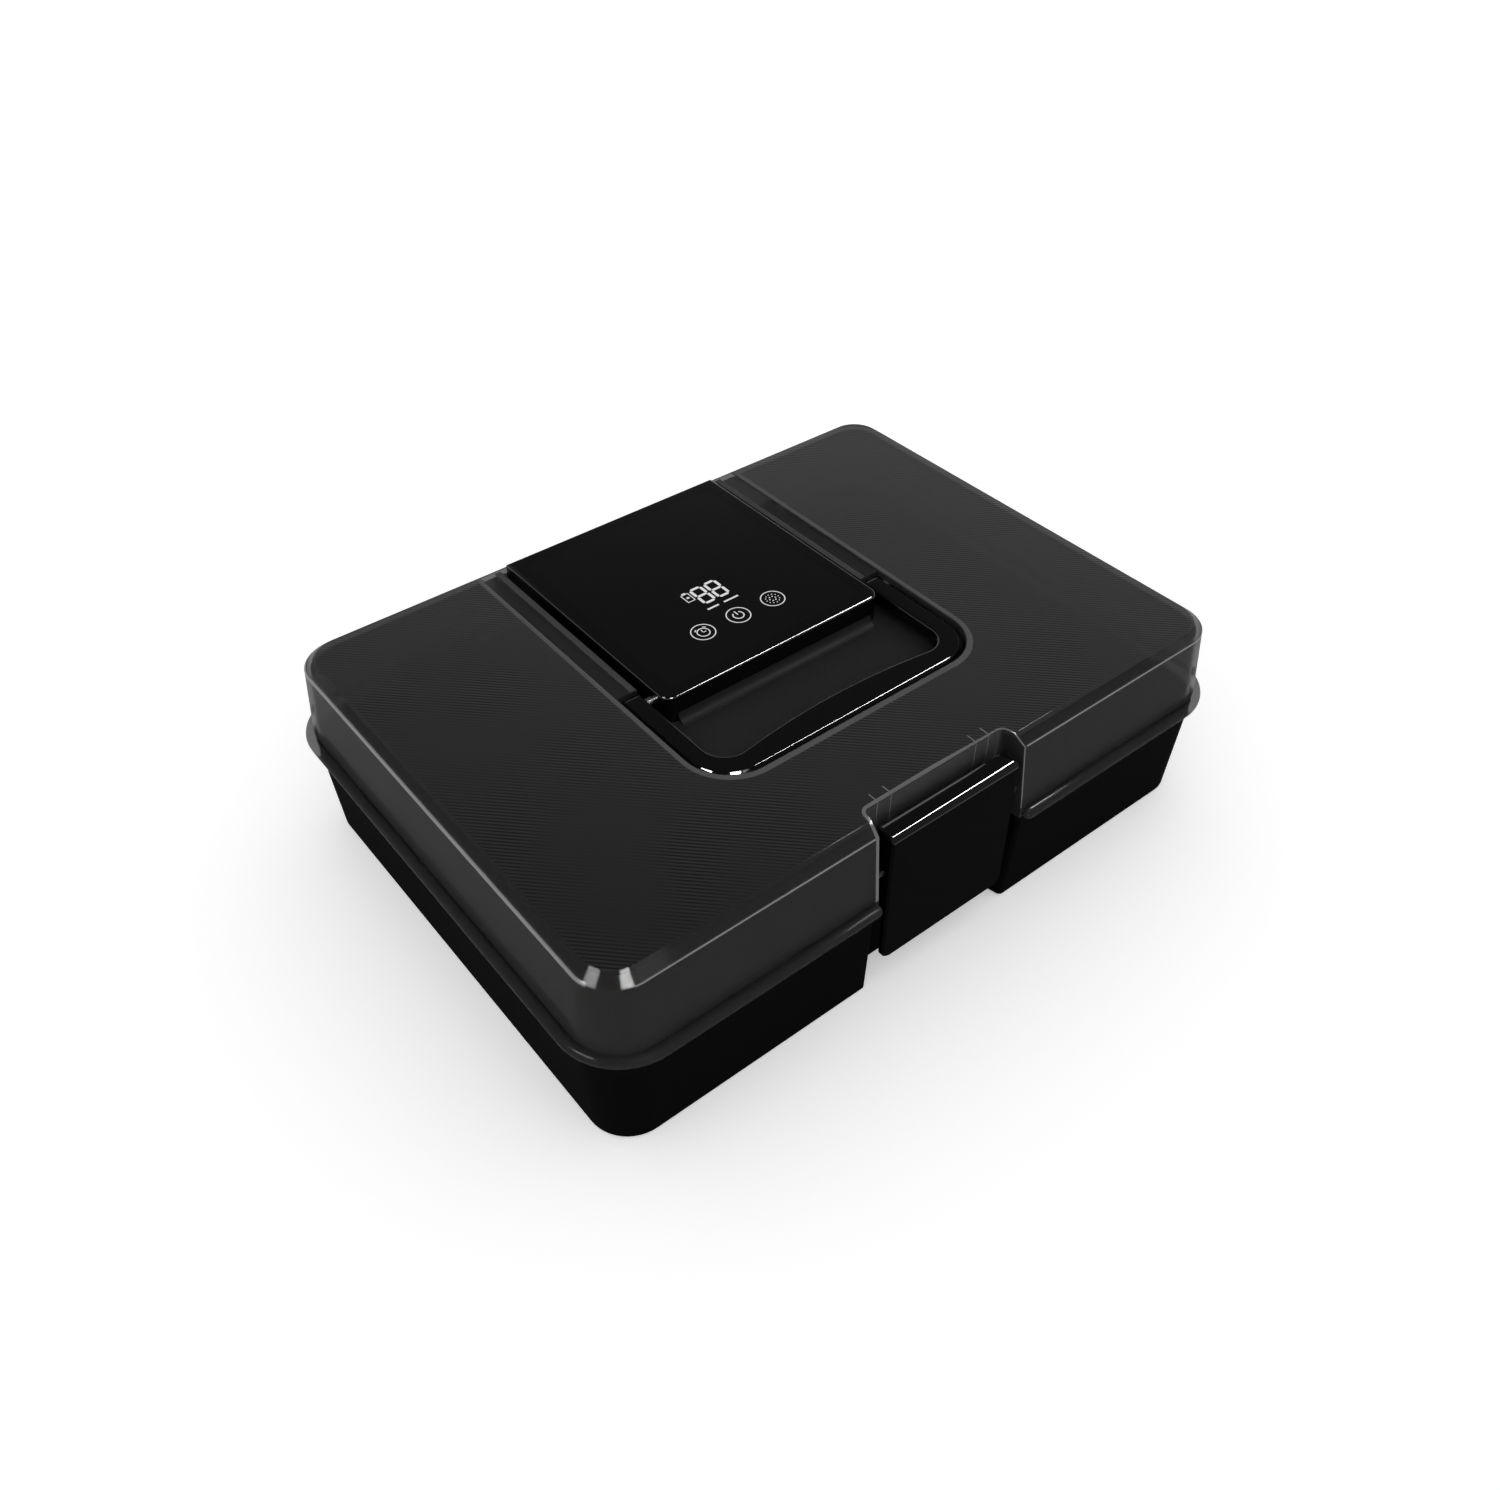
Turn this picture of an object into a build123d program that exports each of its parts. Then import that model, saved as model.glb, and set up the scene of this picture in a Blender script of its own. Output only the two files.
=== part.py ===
from build123d import *
import os

# UV sterilizer box. Millimetres, +Z up, front with the latch towards -Y, +X to the right.
# The origin is the centre of the underside, where the feet meet the table.

# Outline of the box at the lid's top shoulder; every level is this outline offset by e
BODY_W = 300.0
BODY_D = 217.2
BODY_R = 16.4

# Levels above the table and the outline's offset at each
FOOT_STAND = 1.0
BASE_FLOOR_E = 0.15
RIM_Z = 47.2
RIM_E = 2.8
PART_Z = 47.5
SKIRT_Z = 50.7
SKIRT_E = 2.95
SHOULDER_Z = 81.9
LID_TOP_Z = 85.8
LID_TOP_E = -5.0
LID_EDGE_R = 0.6

# Walls
LID_WALL = 2.4
BASE_WALL = 2.6

# Rolled bead along the lid's lower edge
BEAD_R = 2.5
BEAD_E = 4.5
BEAD_CORNER_R = 23.5
BEAD_END_X = 37.0
BEAD_END_ROUND = 2.2

# Notch for the latch, through lid and base
NOTCH_BACK_Y = -98.3
NOTCH_LID_FRONT_HALF = 36.0
NOTCH_BASE_FRONT_HALF = 36.5
NOTCH_BACK_HALF = 34.4
NOTCH_CORNER_R = 3.0
NOTCH_MOUTH_R = 2.2
MOUTH_EDGE_MIN = 28.0
WEB_X = (21.0, 27.5)
WEB_T = 1.2
WEB_REAR_Y = -91.5
WEB_FOOT_Z = 56.0

# Well in the lid's top for the handle and the control module
WELL_HALF = 66.7
WELL_FRONT_Y = -59.8
WELL_REAR_Y = 3.9
WELL_CORNER_R = 20.0
WELL_FLOOR_Z = 75.3
POCKET_HALF = 57.0
POCKET_REAR_Y = 103.2
LEDGE_Z = 84.9
FLOOR_CUT_HALF = 38.0
FLOOR_CUT_Y = (6.0, 99.0)

# Hinges at the rear
HINGE_X = (-85.0, 85.0)
HINGE_Y = 116.4
HINGE_Z = PART_Z
HINGE_W = 36.0
KNUCKLE_R = 3.0
KNUCKLE_MID_W = 13.4
KNUCKLE_GAP = 0.3
HINGE_PIN_R = 1.5
HINGE_CUT_R = 3.7
HINGE_WALL_Y = 110.0
HINGE_GUSSET = 14.0
HINGE_STRAP = 13.0

# Running and fixed clearances of the pins, radial
RUN = 0.04
FIXED = 0.01

# Handle
HANDLE_HALF = 66.0
HANDLE_ARM_INNER = 57.0
HANDLE_FRONT_Y = -58.0
HANDLE_BAR_Y = -43.8
HANDLE_BAR_SAG = 5.7
HANDLE_TOP_Z = 84.4
HANDLE_T = 6.0
HANDLE_END_Y = 3.5
HANDLE_CORNER_R = 18.0
HANDLE_INNER_R = 10.0
HANDLE_CHAMFER = 1.9
HANDLE_INNER_EDGE_R = 2.0
HANDLE_PIN_Y = -1.0
HANDLE_PIN_Z = HANDLE_TOP_Z - HANDLE_T / 2
HANDLE_PIN_R = 1.5

# Control module
MODULE_HALF = 54.2
MODULE_FRONT_Y = -11.3
MODULE_REAR_Y = 102.9
MODULE_TOP_Z = 87.6
MODULE_WALL = 2.0
MODULE_FRONT_R = 5.0
MODULE_EDGE_R = 1.1
PIN_BOSS_R = 3.2
PIN_BOSS_L = 2.0
PANEL_HALF = 48.5
PANEL_FRONT_Y = -6.0
PANEL_REAR_Y = 97.0
PANEL_T = 1.2
TAPE_T = 0.2
PANEL_R = 3.0
PANEL_GAP = 0.1
PANEL_WALL = 1.6
PANEL_Z = MODULE_TOP_Z - PANEL_T
TAPE_Z = PANEL_Z - TAPE_T
CEILING_Z = TAPE_Z - PANEL_WALL
SCREW_X = 44.0
SCREW_Y = (2.0, 48.0, 94.0)
SCREW_R = 1.4
SCREW_HEAD_R = 2.7
SCREW_HEAD_H = 1.8
COLUMN_R = 3.6

# Boards and parts in the module
BOARD_HALF = 39.5
BOARD_Y = (2.0, 60.0)
BOARD_Z = 78.4
BOARD_T = 1.6
BOARD_TOP_Z = BOARD_Z + BOARD_T
BOARD_SCREW_X = 34.0
BOARD_SCREW_INSET = 4.0
BOARD_SCREW = (1.0, 2.0, 1.3)
BOARD_BOSS_R = 2.6
DISPLAY_GAP = 0.4
KEY_X = (-17.75, 0.0, 17.75)
KEY_Y = 13.8
PAD_R = 5.0
DISPLAY_X = (-12.0, 9.5)
DISPLAY_Y = (26.0, 41.5)
DIGIT_LEFT = (-6.2, 1.0)
DIGIT_W = 6.7
DIGIT_H = 12.0
DIGIT_Y = 27.7
SEGMENT_W = 1.3
SEGMENT_T = 0.15

# Cover under the well's floor, with the lamps
COVER_HALF = 50.0
COVER_Y = (-8.0, 104.0)
COVER_Z = 60.0
COVER_TOP_Z = WELL_FLOOR_Z - LID_WALL
COVER_WALL = 2.0
WINDOW_HALF = 32.0
WINDOW_Y = (2.0, 46.0)
WINDOW_LIP = 1.5
WINDOW_T = 1.5
UV_BOARD_HALF = 39.0
UV_BOARD_Y = (-4.0, 52.0)
UV_BOARD_Z = 65.6
UV_LED = 3.5
UV_LED_H = 1.4
CHARGE_HALF = 18.0
CHARGE_Y = (88.0, 103.0)
CHARGE_Z = 63.6
USB_W = 9.0
USB_H = 3.2
USB_D = 7.4
USB_MOUTH_Y = 109.4
ION_AT = (31.0, 70.0)
ION_X = (24.0, 38.0)
ION_Y = (56.0, 84.0)
ION_H = 9.0
BATTERY_X = (-38.0, 20.0)
BATTERY_Y = (56.0, 85.0)
BATTERY_H = 8.0
UV_SCREW_AT = (36.5, 9.0, 41.0)
UV_LED_X = (-24.0, -8.0, 8.0, 24.0)
UV_LED_Y = (14.0, 34.0)
CHARGE_SCREW_X = 14.0
SMALL_SCREW = (0.85, 1.8, 1.2)
SMALL_BOSS_R = 2.1
WIRE_R = 0.6

# Latch flap
LATCH_HALF = 31.5
LATCH_FRONT_Y = -111.4
LATCH_BACK_Y = -103.4
LATCH_Z = (14.8, 79.0)
LATCH_T = 2.5
LATCH_BEVEL = 2.1
LATCH_CORNER_R = 4.0
LATCH_TOP_R = 1.5
LATCH_EDGE = 0.8
LATCH_FLANGE = 2.2
LATCH_FOOT_RISE = 22.0
LATCH_PIN_Y = -107.2
LATCH_PIN_Z = 60.0
LATCH_PIN_R = 1.25
CATCH_HALF = 18.0
CATCH_Y = -104.0
CATCH_Z = (20.0, 23.6)
HOOK_GAP = 0.25

# Tray and feet
TRAY_Z = 47.0
TRAY_T = 1.4
TRAY_E = 0.9
TRAY_FLOOR_Z = 9.0
POCKETS = (
    (-142.0, -104.0, -110.0, 98.0),
    (110.0, -104.0, 142.0, 98.0),
    (-101.0, -104.0, -46.0, -44.0),
    (46.0, -104.0, 101.0, -44.0),
    (-37.0, -88.0, 37.0, -44.0),
    (-101.0, -34.0, 101.0, 98.0),
)
POCKET_R = 13.0
FOOT_X = 125.0
FOOT_Y = 85.0
FOOT_R = 7.0
FOOT_H = 2.0
LABEL_W = 70.0
LABEL_D = 40.0
LABEL_T = 0.2


def outline(e, z):
    """Plan of the box offset outwards by e, at height z."""
    return Pos(0, 0, z) * RectangleRounded(BODY_W + 2 * e, BODY_D + 2 * e, BODY_R + e)


def stack(levels):
    """Solid through the outlines given as (z, e) pairs, from the bottom up."""
    solid = None
    for (z0, e0), (z1, e1) in zip(levels, levels[1:]):
        slab = loft([outline(e0, z0), outline(e1, z1)], ruled=True)
        solid = slab if solid is None else solid + slab
    return solid


def block(x0, x1, y0, y1, z0, z1):
    """Box between two corners."""
    return Pos((x0 + x1) / 2, (y0 + y1) / 2, (z0 + z1) / 2) * Box(x1 - x0, y1 - y0, z1 - z0)


def plate(x0, x1, y0, y1, z0, z1, r):
    """Box with rounded vertical edges."""
    face = Pos((x0 + x1) / 2, (y0 + y1) / 2, z0) * RectangleRounded(x1 - x0, y1 - y0, r)
    return extrude(face, z1 - z0)


def rod(x, y, z0, z1, r):
    """Upright cylinder."""
    return Pos(x, y, (z0 + z1) / 2) * Cylinder(r, z1 - z0)


def cross_rod(x0, x1, y, z, r):
    """Cylinder along X."""
    return Pos((x0 + x1) / 2, y, z) * Rot(0, 90, 0) * Cylinder(r, x1 - x0)


def side_profile(points, x0, x1):
    """Prism along X whose section is given as (y, z) points."""
    face = make_face(Polyline([Vector(x0, y, z) for y, z in points], close=True))
    return extrude(face, x1 - x0, dir=(1, 0, 0))


def screw(x, y, z_seat, z_tip, r, head_r, head_h, up=True):
    """Pan screw whose head rests at z_seat; up is the way that its tip points."""
    head = rod(x, y, z_seat - head_h, z_seat, head_r) if up else rod(x, y, z_seat, z_seat + head_h, head_r)
    return head + rod(x, y, min(z_seat, z_tip), max(z_seat, z_tip), r)


def notch(front_half, grow, z0, z1):
    """Latch notch, open to the front, its faces moved outwards by grow."""
    mouth_y = -BODY_D
    slope = (front_half - NOTCH_BACK_HALF) / (-BODY_D / 2 - NOTCH_BACK_Y)
    mouth_half = front_half + grow + slope * (mouth_y + BODY_D / 2)
    back_y = NOTCH_BACK_Y + grow
    back_half = NOTCH_BACK_HALF + grow
    points = [(-mouth_half, mouth_y), (mouth_half, mouth_y), (back_half, back_y), (-back_half, back_y)]
    face = Pos(0, 0, z0) * make_face(Polyline([Vector(x, y, 0) for x, y in points], close=True))
    back_corners = face.vertices().sort_by(Axis.Y)[-2:]
    return extrude(fillet(back_corners, NOTCH_CORNER_R + grow), z1 - z0)


def mouth_edges(solid, half):
    """The two near-upright edges where the notch meets the front wall, outside."""
    found = []
    for edge in solid.edges().filter_by(GeomType.LINE):
        centre = edge.center()
        tall = abs(edge.tangent_at(0.5).Z) > 0.9 and edge.length > MOUTH_EDGE_MIN
        if tall and abs(abs(centre.X) - half) < 1.5 and centre.Y < -BODY_D / 2 + 0.5:
            found.append(edge)
    return found


def edges_at(solid, z):
    """Edges that lie flat at height z."""
    flat = []
    for edge in solid.edges():
        box = edge.bounding_box()
        if abs(box.min.Z - z) < 0.001 and abs(box.max.Z - z) < 0.001:
            flat.append(edge)
    return flat


def knuckle(x0, x1, arm):
    """Hinge knuckle between x0 and x1 with an arm of the given (y, z) section to the wall."""
    return cross_rod(x0, x1, HINGE_Y, HINGE_Z, KNUCKLE_R) + side_profile(arm, x0, x1)


def base_arm():
    """Section of a base knuckle's arm: flat at the rim, sloping back to the wall below."""
    rear_y = HINGE_Y + KNUCKLE_R * 0.8
    return [(HINGE_WALL_Y, RIM_Z), (HINGE_Y, RIM_Z), (rear_y, HINGE_Z - KNUCKLE_R * 0.6),
            (HINGE_WALL_Y, RIM_Z - HINGE_GUSSET)]


def lid_arm():
    """Section of a lid knuckle's arm: a strap that runs up the lid's rear wall."""
    rear_y = HINGE_Y + KNUCKLE_R * 0.8
    foot_z = PART_Z + KNUCKLE_GAP
    return [(HINGE_WALL_Y, foot_z), (HINGE_Y, foot_z), (rear_y, HINGE_Z + KNUCKLE_R * 0.6),
            (HINGE_WALL_Y + 1, foot_z + HINGE_STRAP), (HINGE_WALL_Y - 1, foot_z + HINGE_STRAP)]


def base_shell():
    """Tub with the notch, the catch, foot recesses and the outer hinge knuckles."""
    floor_z = FOOT_STAND
    inner_floor = floor_z + BASE_WALL
    seat_z = TRAY_Z - TRAY_T
    outer = stack([(floor_z, BASE_FLOOR_E), (RIM_Z, RIM_E)])
    hollow = stack([(inner_floor, BASE_FLOOR_E - BASE_WALL), (seat_z, RIM_E - BASE_WALL)])
    rebate = stack([(seat_z, TRAY_E + 0.3), (RIM_Z, TRAY_E + 0.3)])
    wall = notch(NOTCH_BASE_FRONT_HALF, BASE_WALL, floor_z, RIM_Z) & outer
    body = outer - hollow - rebate + wall - notch(NOTCH_BASE_FRONT_HALF, 0, 0, RIM_Z + 1)
    body = fillet(mouth_edges(body, NOTCH_BASE_FRONT_HALF), NOTCH_MOUTH_R)
    body += block(-CATCH_HALF, CATCH_HALF, CATCH_Y, NOTCH_BACK_Y + 1, *CATCH_Z)
    for x in (-FOOT_X, FOOT_X):
        for y in (-FOOT_Y, FOOT_Y):
            body -= rod(x, y, 0, floor_z + FOOT_H / 2, FOOT_R)
    mid = KNUCKLE_MID_W / 2 + KNUCKLE_GAP
    for x in HINGE_X:
        body += knuckle(x - HINGE_W / 2, x - mid, base_arm())
        body += knuckle(x + mid, x + HINGE_W / 2, base_arm())
        body -= cross_rod(x - HINGE_W, x + HINGE_W, HINGE_Y, HINGE_Z, HINGE_PIN_R + FIXED)
    return body


def cup_block(pocket, z0):
    """Block with a cup's outer form, from z0 to above the tray."""
    x0, y0, x1, y1 = pocket
    return plate(x0 - TRAY_T, x1 + TRAY_T, y0 - TRAY_T, y1 + TRAY_T, z0, TRAY_Z + 1, POCKET_R + TRAY_T)


def base_tray():
    """Flat deck with six holes for the cups, cut back round the notch."""
    deck = extrude(outline(TRAY_E, TRAY_Z - TRAY_T), TRAY_T)
    deck -= notch(NOTCH_BASE_FRONT_HALF, BASE_WALL + 0.4, 0, TRAY_Z + 1)
    for pocket in POCKETS:
        deck -= cup_block(pocket, 0)
    return deck


def tray_cups():
    """Six rounded cups welded into the deck's holes, flush with its top."""
    cups = []
    for pocket in POCKETS:
        x0, y0, x1, y1 = pocket
        cup = cup_block(pocket, TRAY_FLOOR_Z - TRAY_T)
        cup -= plate(x0, x1, y0, y1, TRAY_FLOOR_Z, TRAY_Z + 2, POCKET_R)
        cups.append(cup - block(-BODY_W, BODY_W, -BODY_D, BODY_D, TRAY_Z, TRAY_Z + 2))
    return cups


def rubber_feet():
    """Four glued feet."""
    return [rod(x, y, 0, FOOT_H, FOOT_R - 0.1) for x in (-FOOT_X, FOOT_X) for y in (-FOOT_Y, FOOT_Y)]


def rating_label():
    """Blank label on the underside."""
    return plate(-LABEL_W / 2, LABEL_W / 2, -LABEL_D / 2, LABEL_D / 2, FOOT_STAND - LABEL_T, FOOT_STAND, 2)


def hinge_pins():
    """Two steel pins through the knuckles."""
    return [cross_rod(x - HINGE_W / 2, x + HINGE_W / 2, HINGE_Y, HINGE_Z, HINGE_PIN_R) for x in HINGE_X]


def bead():
    """Rolled bead round the lid's edge with rounded ends at the notch."""
    width = BODY_W + 2 * BEAD_E
    depth = BODY_D + 2 * BEAD_E
    path = Pos(0, 0, PART_Z + BEAD_R) * RectangleRounded(width, depth, BEAD_CORNER_R).wire()
    start = path @ 0
    section = Plane(origin=start, z_dir=path % 0) * Circle(BEAD_R)
    ring = sweep(section, path=path)
    ring -= block(-BEAD_END_X, BEAD_END_X, -BODY_D, 0, 0, LID_TOP_Z)
    ends = [e for e in ring.edges() if abs(abs(e.center().X) - BEAD_END_X) < 0.01 and e.center().Y < 0]
    return fillet(ends, BEAD_END_ROUND)


def lid_shell():
    """Smoked cover with bead, notch, well, ledges and the middle hinge knuckles."""
    outer = stack([(PART_Z, SKIRT_E), (SKIRT_Z, SKIRT_E), (SHOULDER_Z, 0), (LID_TOP_Z, LID_TOP_E)])
    outer = fillet(edges_at(outer, SHOULDER_Z) + edges_at(outer, LID_TOP_Z), LID_EDGE_R)
    hollow = stack([(PART_Z, SKIRT_E - LID_WALL), (SKIRT_Z, SKIRT_E - LID_WALL),
                    (SHOULDER_Z - 1, -LID_WALL), (LID_TOP_Z - LID_WALL, LID_TOP_E - 1)])
    notch_wall = notch(NOTCH_LID_FRONT_HALF, LID_WALL, PART_Z, LID_TOP_Z) & outer
    pan = plate(-WELL_HALF - LID_WALL, WELL_HALF + LID_WALL, WELL_FRONT_Y - LID_WALL, WELL_REAR_Y + LID_WALL,
                WELL_FLOOR_Z - LID_WALL, LID_TOP_Z, WELL_CORNER_R + LID_WALL)
    pan += block(-POCKET_HALF - LID_WALL, POCKET_HALF + LID_WALL, WELL_REAR_Y - 30, POCKET_REAR_Y + LID_WALL,
                 WELL_FLOOR_Z - LID_WALL, LID_TOP_Z)
    pan += block(-WELL_HALF - LID_WALL, WELL_HALF + LID_WALL, WELL_REAR_Y - 30, BODY_D,
                 LEDGE_Z - LID_WALL, LID_TOP_Z)
    body = outer - hollow + notch_wall + (pan & outer)
    well = plate(-WELL_HALF, WELL_HALF, WELL_FRONT_Y, WELL_REAR_Y, WELL_FLOOR_Z, LID_TOP_Z + 5, WELL_CORNER_R)
    well += block(-WELL_HALF, WELL_HALF, WELL_REAR_Y - 30, WELL_REAR_Y, WELL_FLOOR_Z, LID_TOP_Z + 5)
    well += block(-POCKET_HALF, POCKET_HALF, WELL_REAR_Y - 1, POCKET_REAR_Y, WELL_FLOOR_Z, LID_TOP_Z + 5)
    well += block(-WELL_HALF, WELL_HALF, WELL_REAR_Y - 1, BODY_D, LEDGE_Z, LID_TOP_Z + 5)
    body -= well
    body -= block(-FLOOR_CUT_HALF, FLOOR_CUT_HALF, *FLOOR_CUT_Y, COVER_Z, WELL_FLOOR_Z + 1)
    body -= notch(NOTCH_LID_FRONT_HALF, 0, 0, LID_TOP_Z + 5)
    for x in WEB_X:
        for side in (-x, x):
            body += block(side - WEB_T / 2, side + WEB_T / 2, NOTCH_BACK_Y + LID_WALL - 0.5, WEB_REAR_Y,
                          WEB_FOOT_Z, LID_TOP_Z - LID_WALL / 2)
    body += bead() & notch_free()
    for x in HINGE_X:
        span = HINGE_W / 2 + 1
        body -= cross_rod(x - span, x + span, HINGE_Y, HINGE_Z, HINGE_CUT_R)
        body += knuckle(x - KNUCKLE_MID_W / 2, x + KNUCKLE_MID_W / 2, lid_arm())
        body -= cross_rod(x - HINGE_W, x + HINGE_W, HINGE_Y, HINGE_Z, HINGE_PIN_R + RUN)
    for x in (-SCREW_X, SCREW_X):
        for y in SCREW_Y:
            body -= rod(x, y, COVER_Z, WELL_FLOOR_Z + 1, SCREW_R + 0.1)
    for side in (-1, 1):
        ends = sorted((side * (WELL_HALF - 1), side * (WELL_HALF + LID_WALL + 1)))
        body -= cross_rod(*ends, HANDLE_PIN_Y, HANDLE_PIN_Z, HANDLE_PIN_R + FIXED)
    body -= cross_rod(-NOTCH_LID_FRONT_HALF - LID_WALL - 1, NOTCH_LID_FRONT_HALF + LID_WALL + 1,
                      LATCH_PIN_Y, LATCH_PIN_Z, LATCH_PIN_R + FIXED)
    usb_z = CHARGE_Z + BOARD_T + USB_H / 2
    usb_hole = block(-USB_W / 2 - 0.2, USB_W / 2 + 0.2, POCKET_REAR_Y, BODY_D, usb_z - USB_H / 2 - 0.2,
                     usb_z + USB_H / 2 + 0.2)
    return body - usb_hole


def notch_free():
    """Space that the bead may fill: all of it but the inside of the lid."""
    room = block(-BODY_W, BODY_W, -BODY_D, BODY_D, PART_Z, LID_TOP_Z)
    return room - stack([(PART_Z - 1, SKIRT_E - LID_WALL), (SHOULDER_Z, SKIRT_E - LID_WALL)])


def handle():
    """U-shaped handle with an arched front bar, pinned at the rear of its arms."""
    low_z = HANDLE_TOP_Z - HANDLE_T
    outer = Pos(0, (HANDLE_FRONT_Y + HANDLE_END_Y) / 2, low_z) * Rectangle(
        2 * HANDLE_HALF, HANDLE_END_Y - HANDLE_FRONT_Y)
    outer = fillet(outer.vertices().sort_by(Axis.Y)[:2], HANDLE_CORNER_R)
    side_y = HANDLE_BAR_Y - HANDLE_BAR_SAG
    arch = ThreePointArc((-HANDLE_ARM_INNER, side_y, low_z), (0, HANDLE_BAR_Y, low_z),
                         (HANDLE_ARM_INNER, side_y, low_z))
    rest = Polyline((HANDLE_ARM_INNER, side_y, low_z), (HANDLE_ARM_INNER, HANDLE_END_Y + 5, low_z),
                    (-HANDLE_ARM_INNER, HANDLE_END_Y + 5, low_z), (-HANDLE_ARM_INNER, side_y, low_z))
    inner = make_face(Curve() + [arch, rest])
    inner = fillet(inner.vertices().sort_by(Axis.Y)[:2], HANDLE_INNER_R)
    body = extrude(outer - inner, HANDLE_T)
    rim = [e for e in edges_at(body, HANDLE_TOP_Z) if e.center().Y < HANDLE_END_Y - 0.1]
    outside = [e for e in rim if abs(e.center().X) > HANDLE_ARM_INNER or e.center().Y < side_y]
    body = chamfer(outside, HANDLE_CHAMFER)
    rim = [e for e in edges_at(body, HANDLE_TOP_Z) if abs(e.center().X) <= HANDLE_ARM_INNER]
    body = fillet([e for e in rim if e.center().Y > side_y - 0.1], HANDLE_INNER_EDGE_R)
    end_y = HANDLE_END_Y - HANDLE_T / 2
    keep = block(-BODY_W, BODY_W, -BODY_D, end_y, low_z - 1, HANDLE_TOP_Z + 1)
    keep += cross_rod(-BODY_W, BODY_W, end_y, HANDLE_PIN_Z, HANDLE_T / 2)
    body &= keep
    return body - cross_rod(-BODY_W, BODY_W, HANDLE_PIN_Y, HANDLE_PIN_Z, HANDLE_PIN_R + RUN)


def handle_pins():
    """Two pins from the module's sides through the arms into the well's walls."""
    inner = MODULE_HALF - MODULE_WALL - 1.5
    outer = WELL_HALF + LID_WALL - 0.3
    return [cross_rod(inner, outer, HANDLE_PIN_Y, HANDLE_PIN_Z, HANDLE_PIN_R),
            cross_rod(-outer, -inner, HANDLE_PIN_Y, HANDLE_PIN_Z, HANDLE_PIN_R)]


def module_housing():
    """Black housing, open below, with the panel's recess and its screw columns."""
    face = Pos(0, (MODULE_FRONT_Y + MODULE_REAR_Y) / 2, WELL_FLOOR_Z) * Rectangle(
        2 * MODULE_HALF, MODULE_REAR_Y - MODULE_FRONT_Y)
    face = fillet(face.vertices().sort_by(Axis.Y)[:2], MODULE_FRONT_R)
    body = extrude(face, MODULE_TOP_Z - WELL_FLOOR_Z)
    body = fillet(edges_at(body, MODULE_TOP_Z), MODULE_EDGE_R)
    inner = plate(-MODULE_HALF + MODULE_WALL, MODULE_HALF - MODULE_WALL, MODULE_FRONT_Y + MODULE_WALL,
                  MODULE_REAR_Y - MODULE_WALL, WELL_FLOOR_Z - 1, CEILING_Z, MODULE_FRONT_R - MODULE_WALL)
    body -= inner
    body -= panel_slab(PANEL_GAP, TAPE_Z, MODULE_TOP_Z + 1)
    for x in (-SCREW_X, SCREW_X):
        for y in SCREW_Y:
            body += rod(x, y, WELL_FLOOR_Z, CEILING_Z, COLUMN_R)
            body -= rod(x, y, WELL_FLOOR_Z - 1, CEILING_Z - 1, SCREW_R + 0.1)
    for x, y in board_holes():
        body += rod(x, y, BOARD_TOP_Z, CEILING_Z, BOARD_BOSS_R)
        body -= rod(x, y, BOARD_TOP_Z - 1, CEILING_Z - 0.6, BOARD_SCREW[0] + 0.1)
    body -= block(DISPLAY_X[0] - 0.3, DISPLAY_X[1] + 0.3, DISPLAY_Y[0] - 0.3, DISPLAY_Y[1] + 0.3,
                  CEILING_Z - 1, MODULE_TOP_Z)
    for x in KEY_X:
        body -= rod(x, KEY_Y, CEILING_Z - 1, MODULE_TOP_Z, PAD_R + 0.3)
    inside = MODULE_HALF - MODULE_WALL
    for side in (-1, 1):
        ends = sorted((side * (inside - PIN_BOSS_L), side * (inside + MODULE_WALL / 2)))
        body += cross_rod(*ends, HANDLE_PIN_Y, HANDLE_PIN_Z, PIN_BOSS_R)
    return body - cross_rod(-BODY_W, BODY_W, HANDLE_PIN_Y, HANDLE_PIN_Z, HANDLE_PIN_R + FIXED)


def panel_slab(grow, z0, z1):
    """Block with the touch panel's plan."""
    return plate(-PANEL_HALF - grow, PANEL_HALF + grow, PANEL_FRONT_Y - grow, PANEL_REAR_Y + grow, z0, z1,
                 max(PANEL_R + grow, 0.5))


def board_holes():
    """Screw places of the main board."""
    rows = (BOARD_Y[0] + BOARD_SCREW_INSET, BOARD_Y[1] - BOARD_SCREW_INSET)
    return [(x, y) for x in (-BOARD_SCREW_X, BOARD_SCREW_X) for y in rows]


def touch_panel():
    """Flat plate flush with the housing's top."""
    return panel_slab(0, PANEL_Z, MODULE_TOP_Z)


def panel_tape():
    """Adhesive frame under the panel."""
    tape = panel_slab(-0.5, TAPE_Z, PANEL_Z)
    return tape - panel_slab(-5.0, TAPE_Z - 1, PANEL_Z + 1)


def main_board():
    """Control board under the housing's ceiling."""
    body = plate(-BOARD_HALF, BOARD_HALF, *BOARD_Y, BOARD_Z, BOARD_TOP_Z, 2)
    for x, y in board_holes():
        body -= rod(x, y, BOARD_Z - 1, BOARD_TOP_Z + 1, BOARD_SCREW[0] + 0.1)
    return body


def board_screws():
    """Four screws that hold the main board."""
    return [screw(x, y, BOARD_Z, CEILING_Z - 1, *BOARD_SCREW) for x, y in board_holes()]


def display_block():
    """Body of the two-digit display."""
    return block(*DISPLAY_X, *DISPLAY_Y, BOARD_TOP_Z, PANEL_Z - DISPLAY_GAP)


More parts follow.
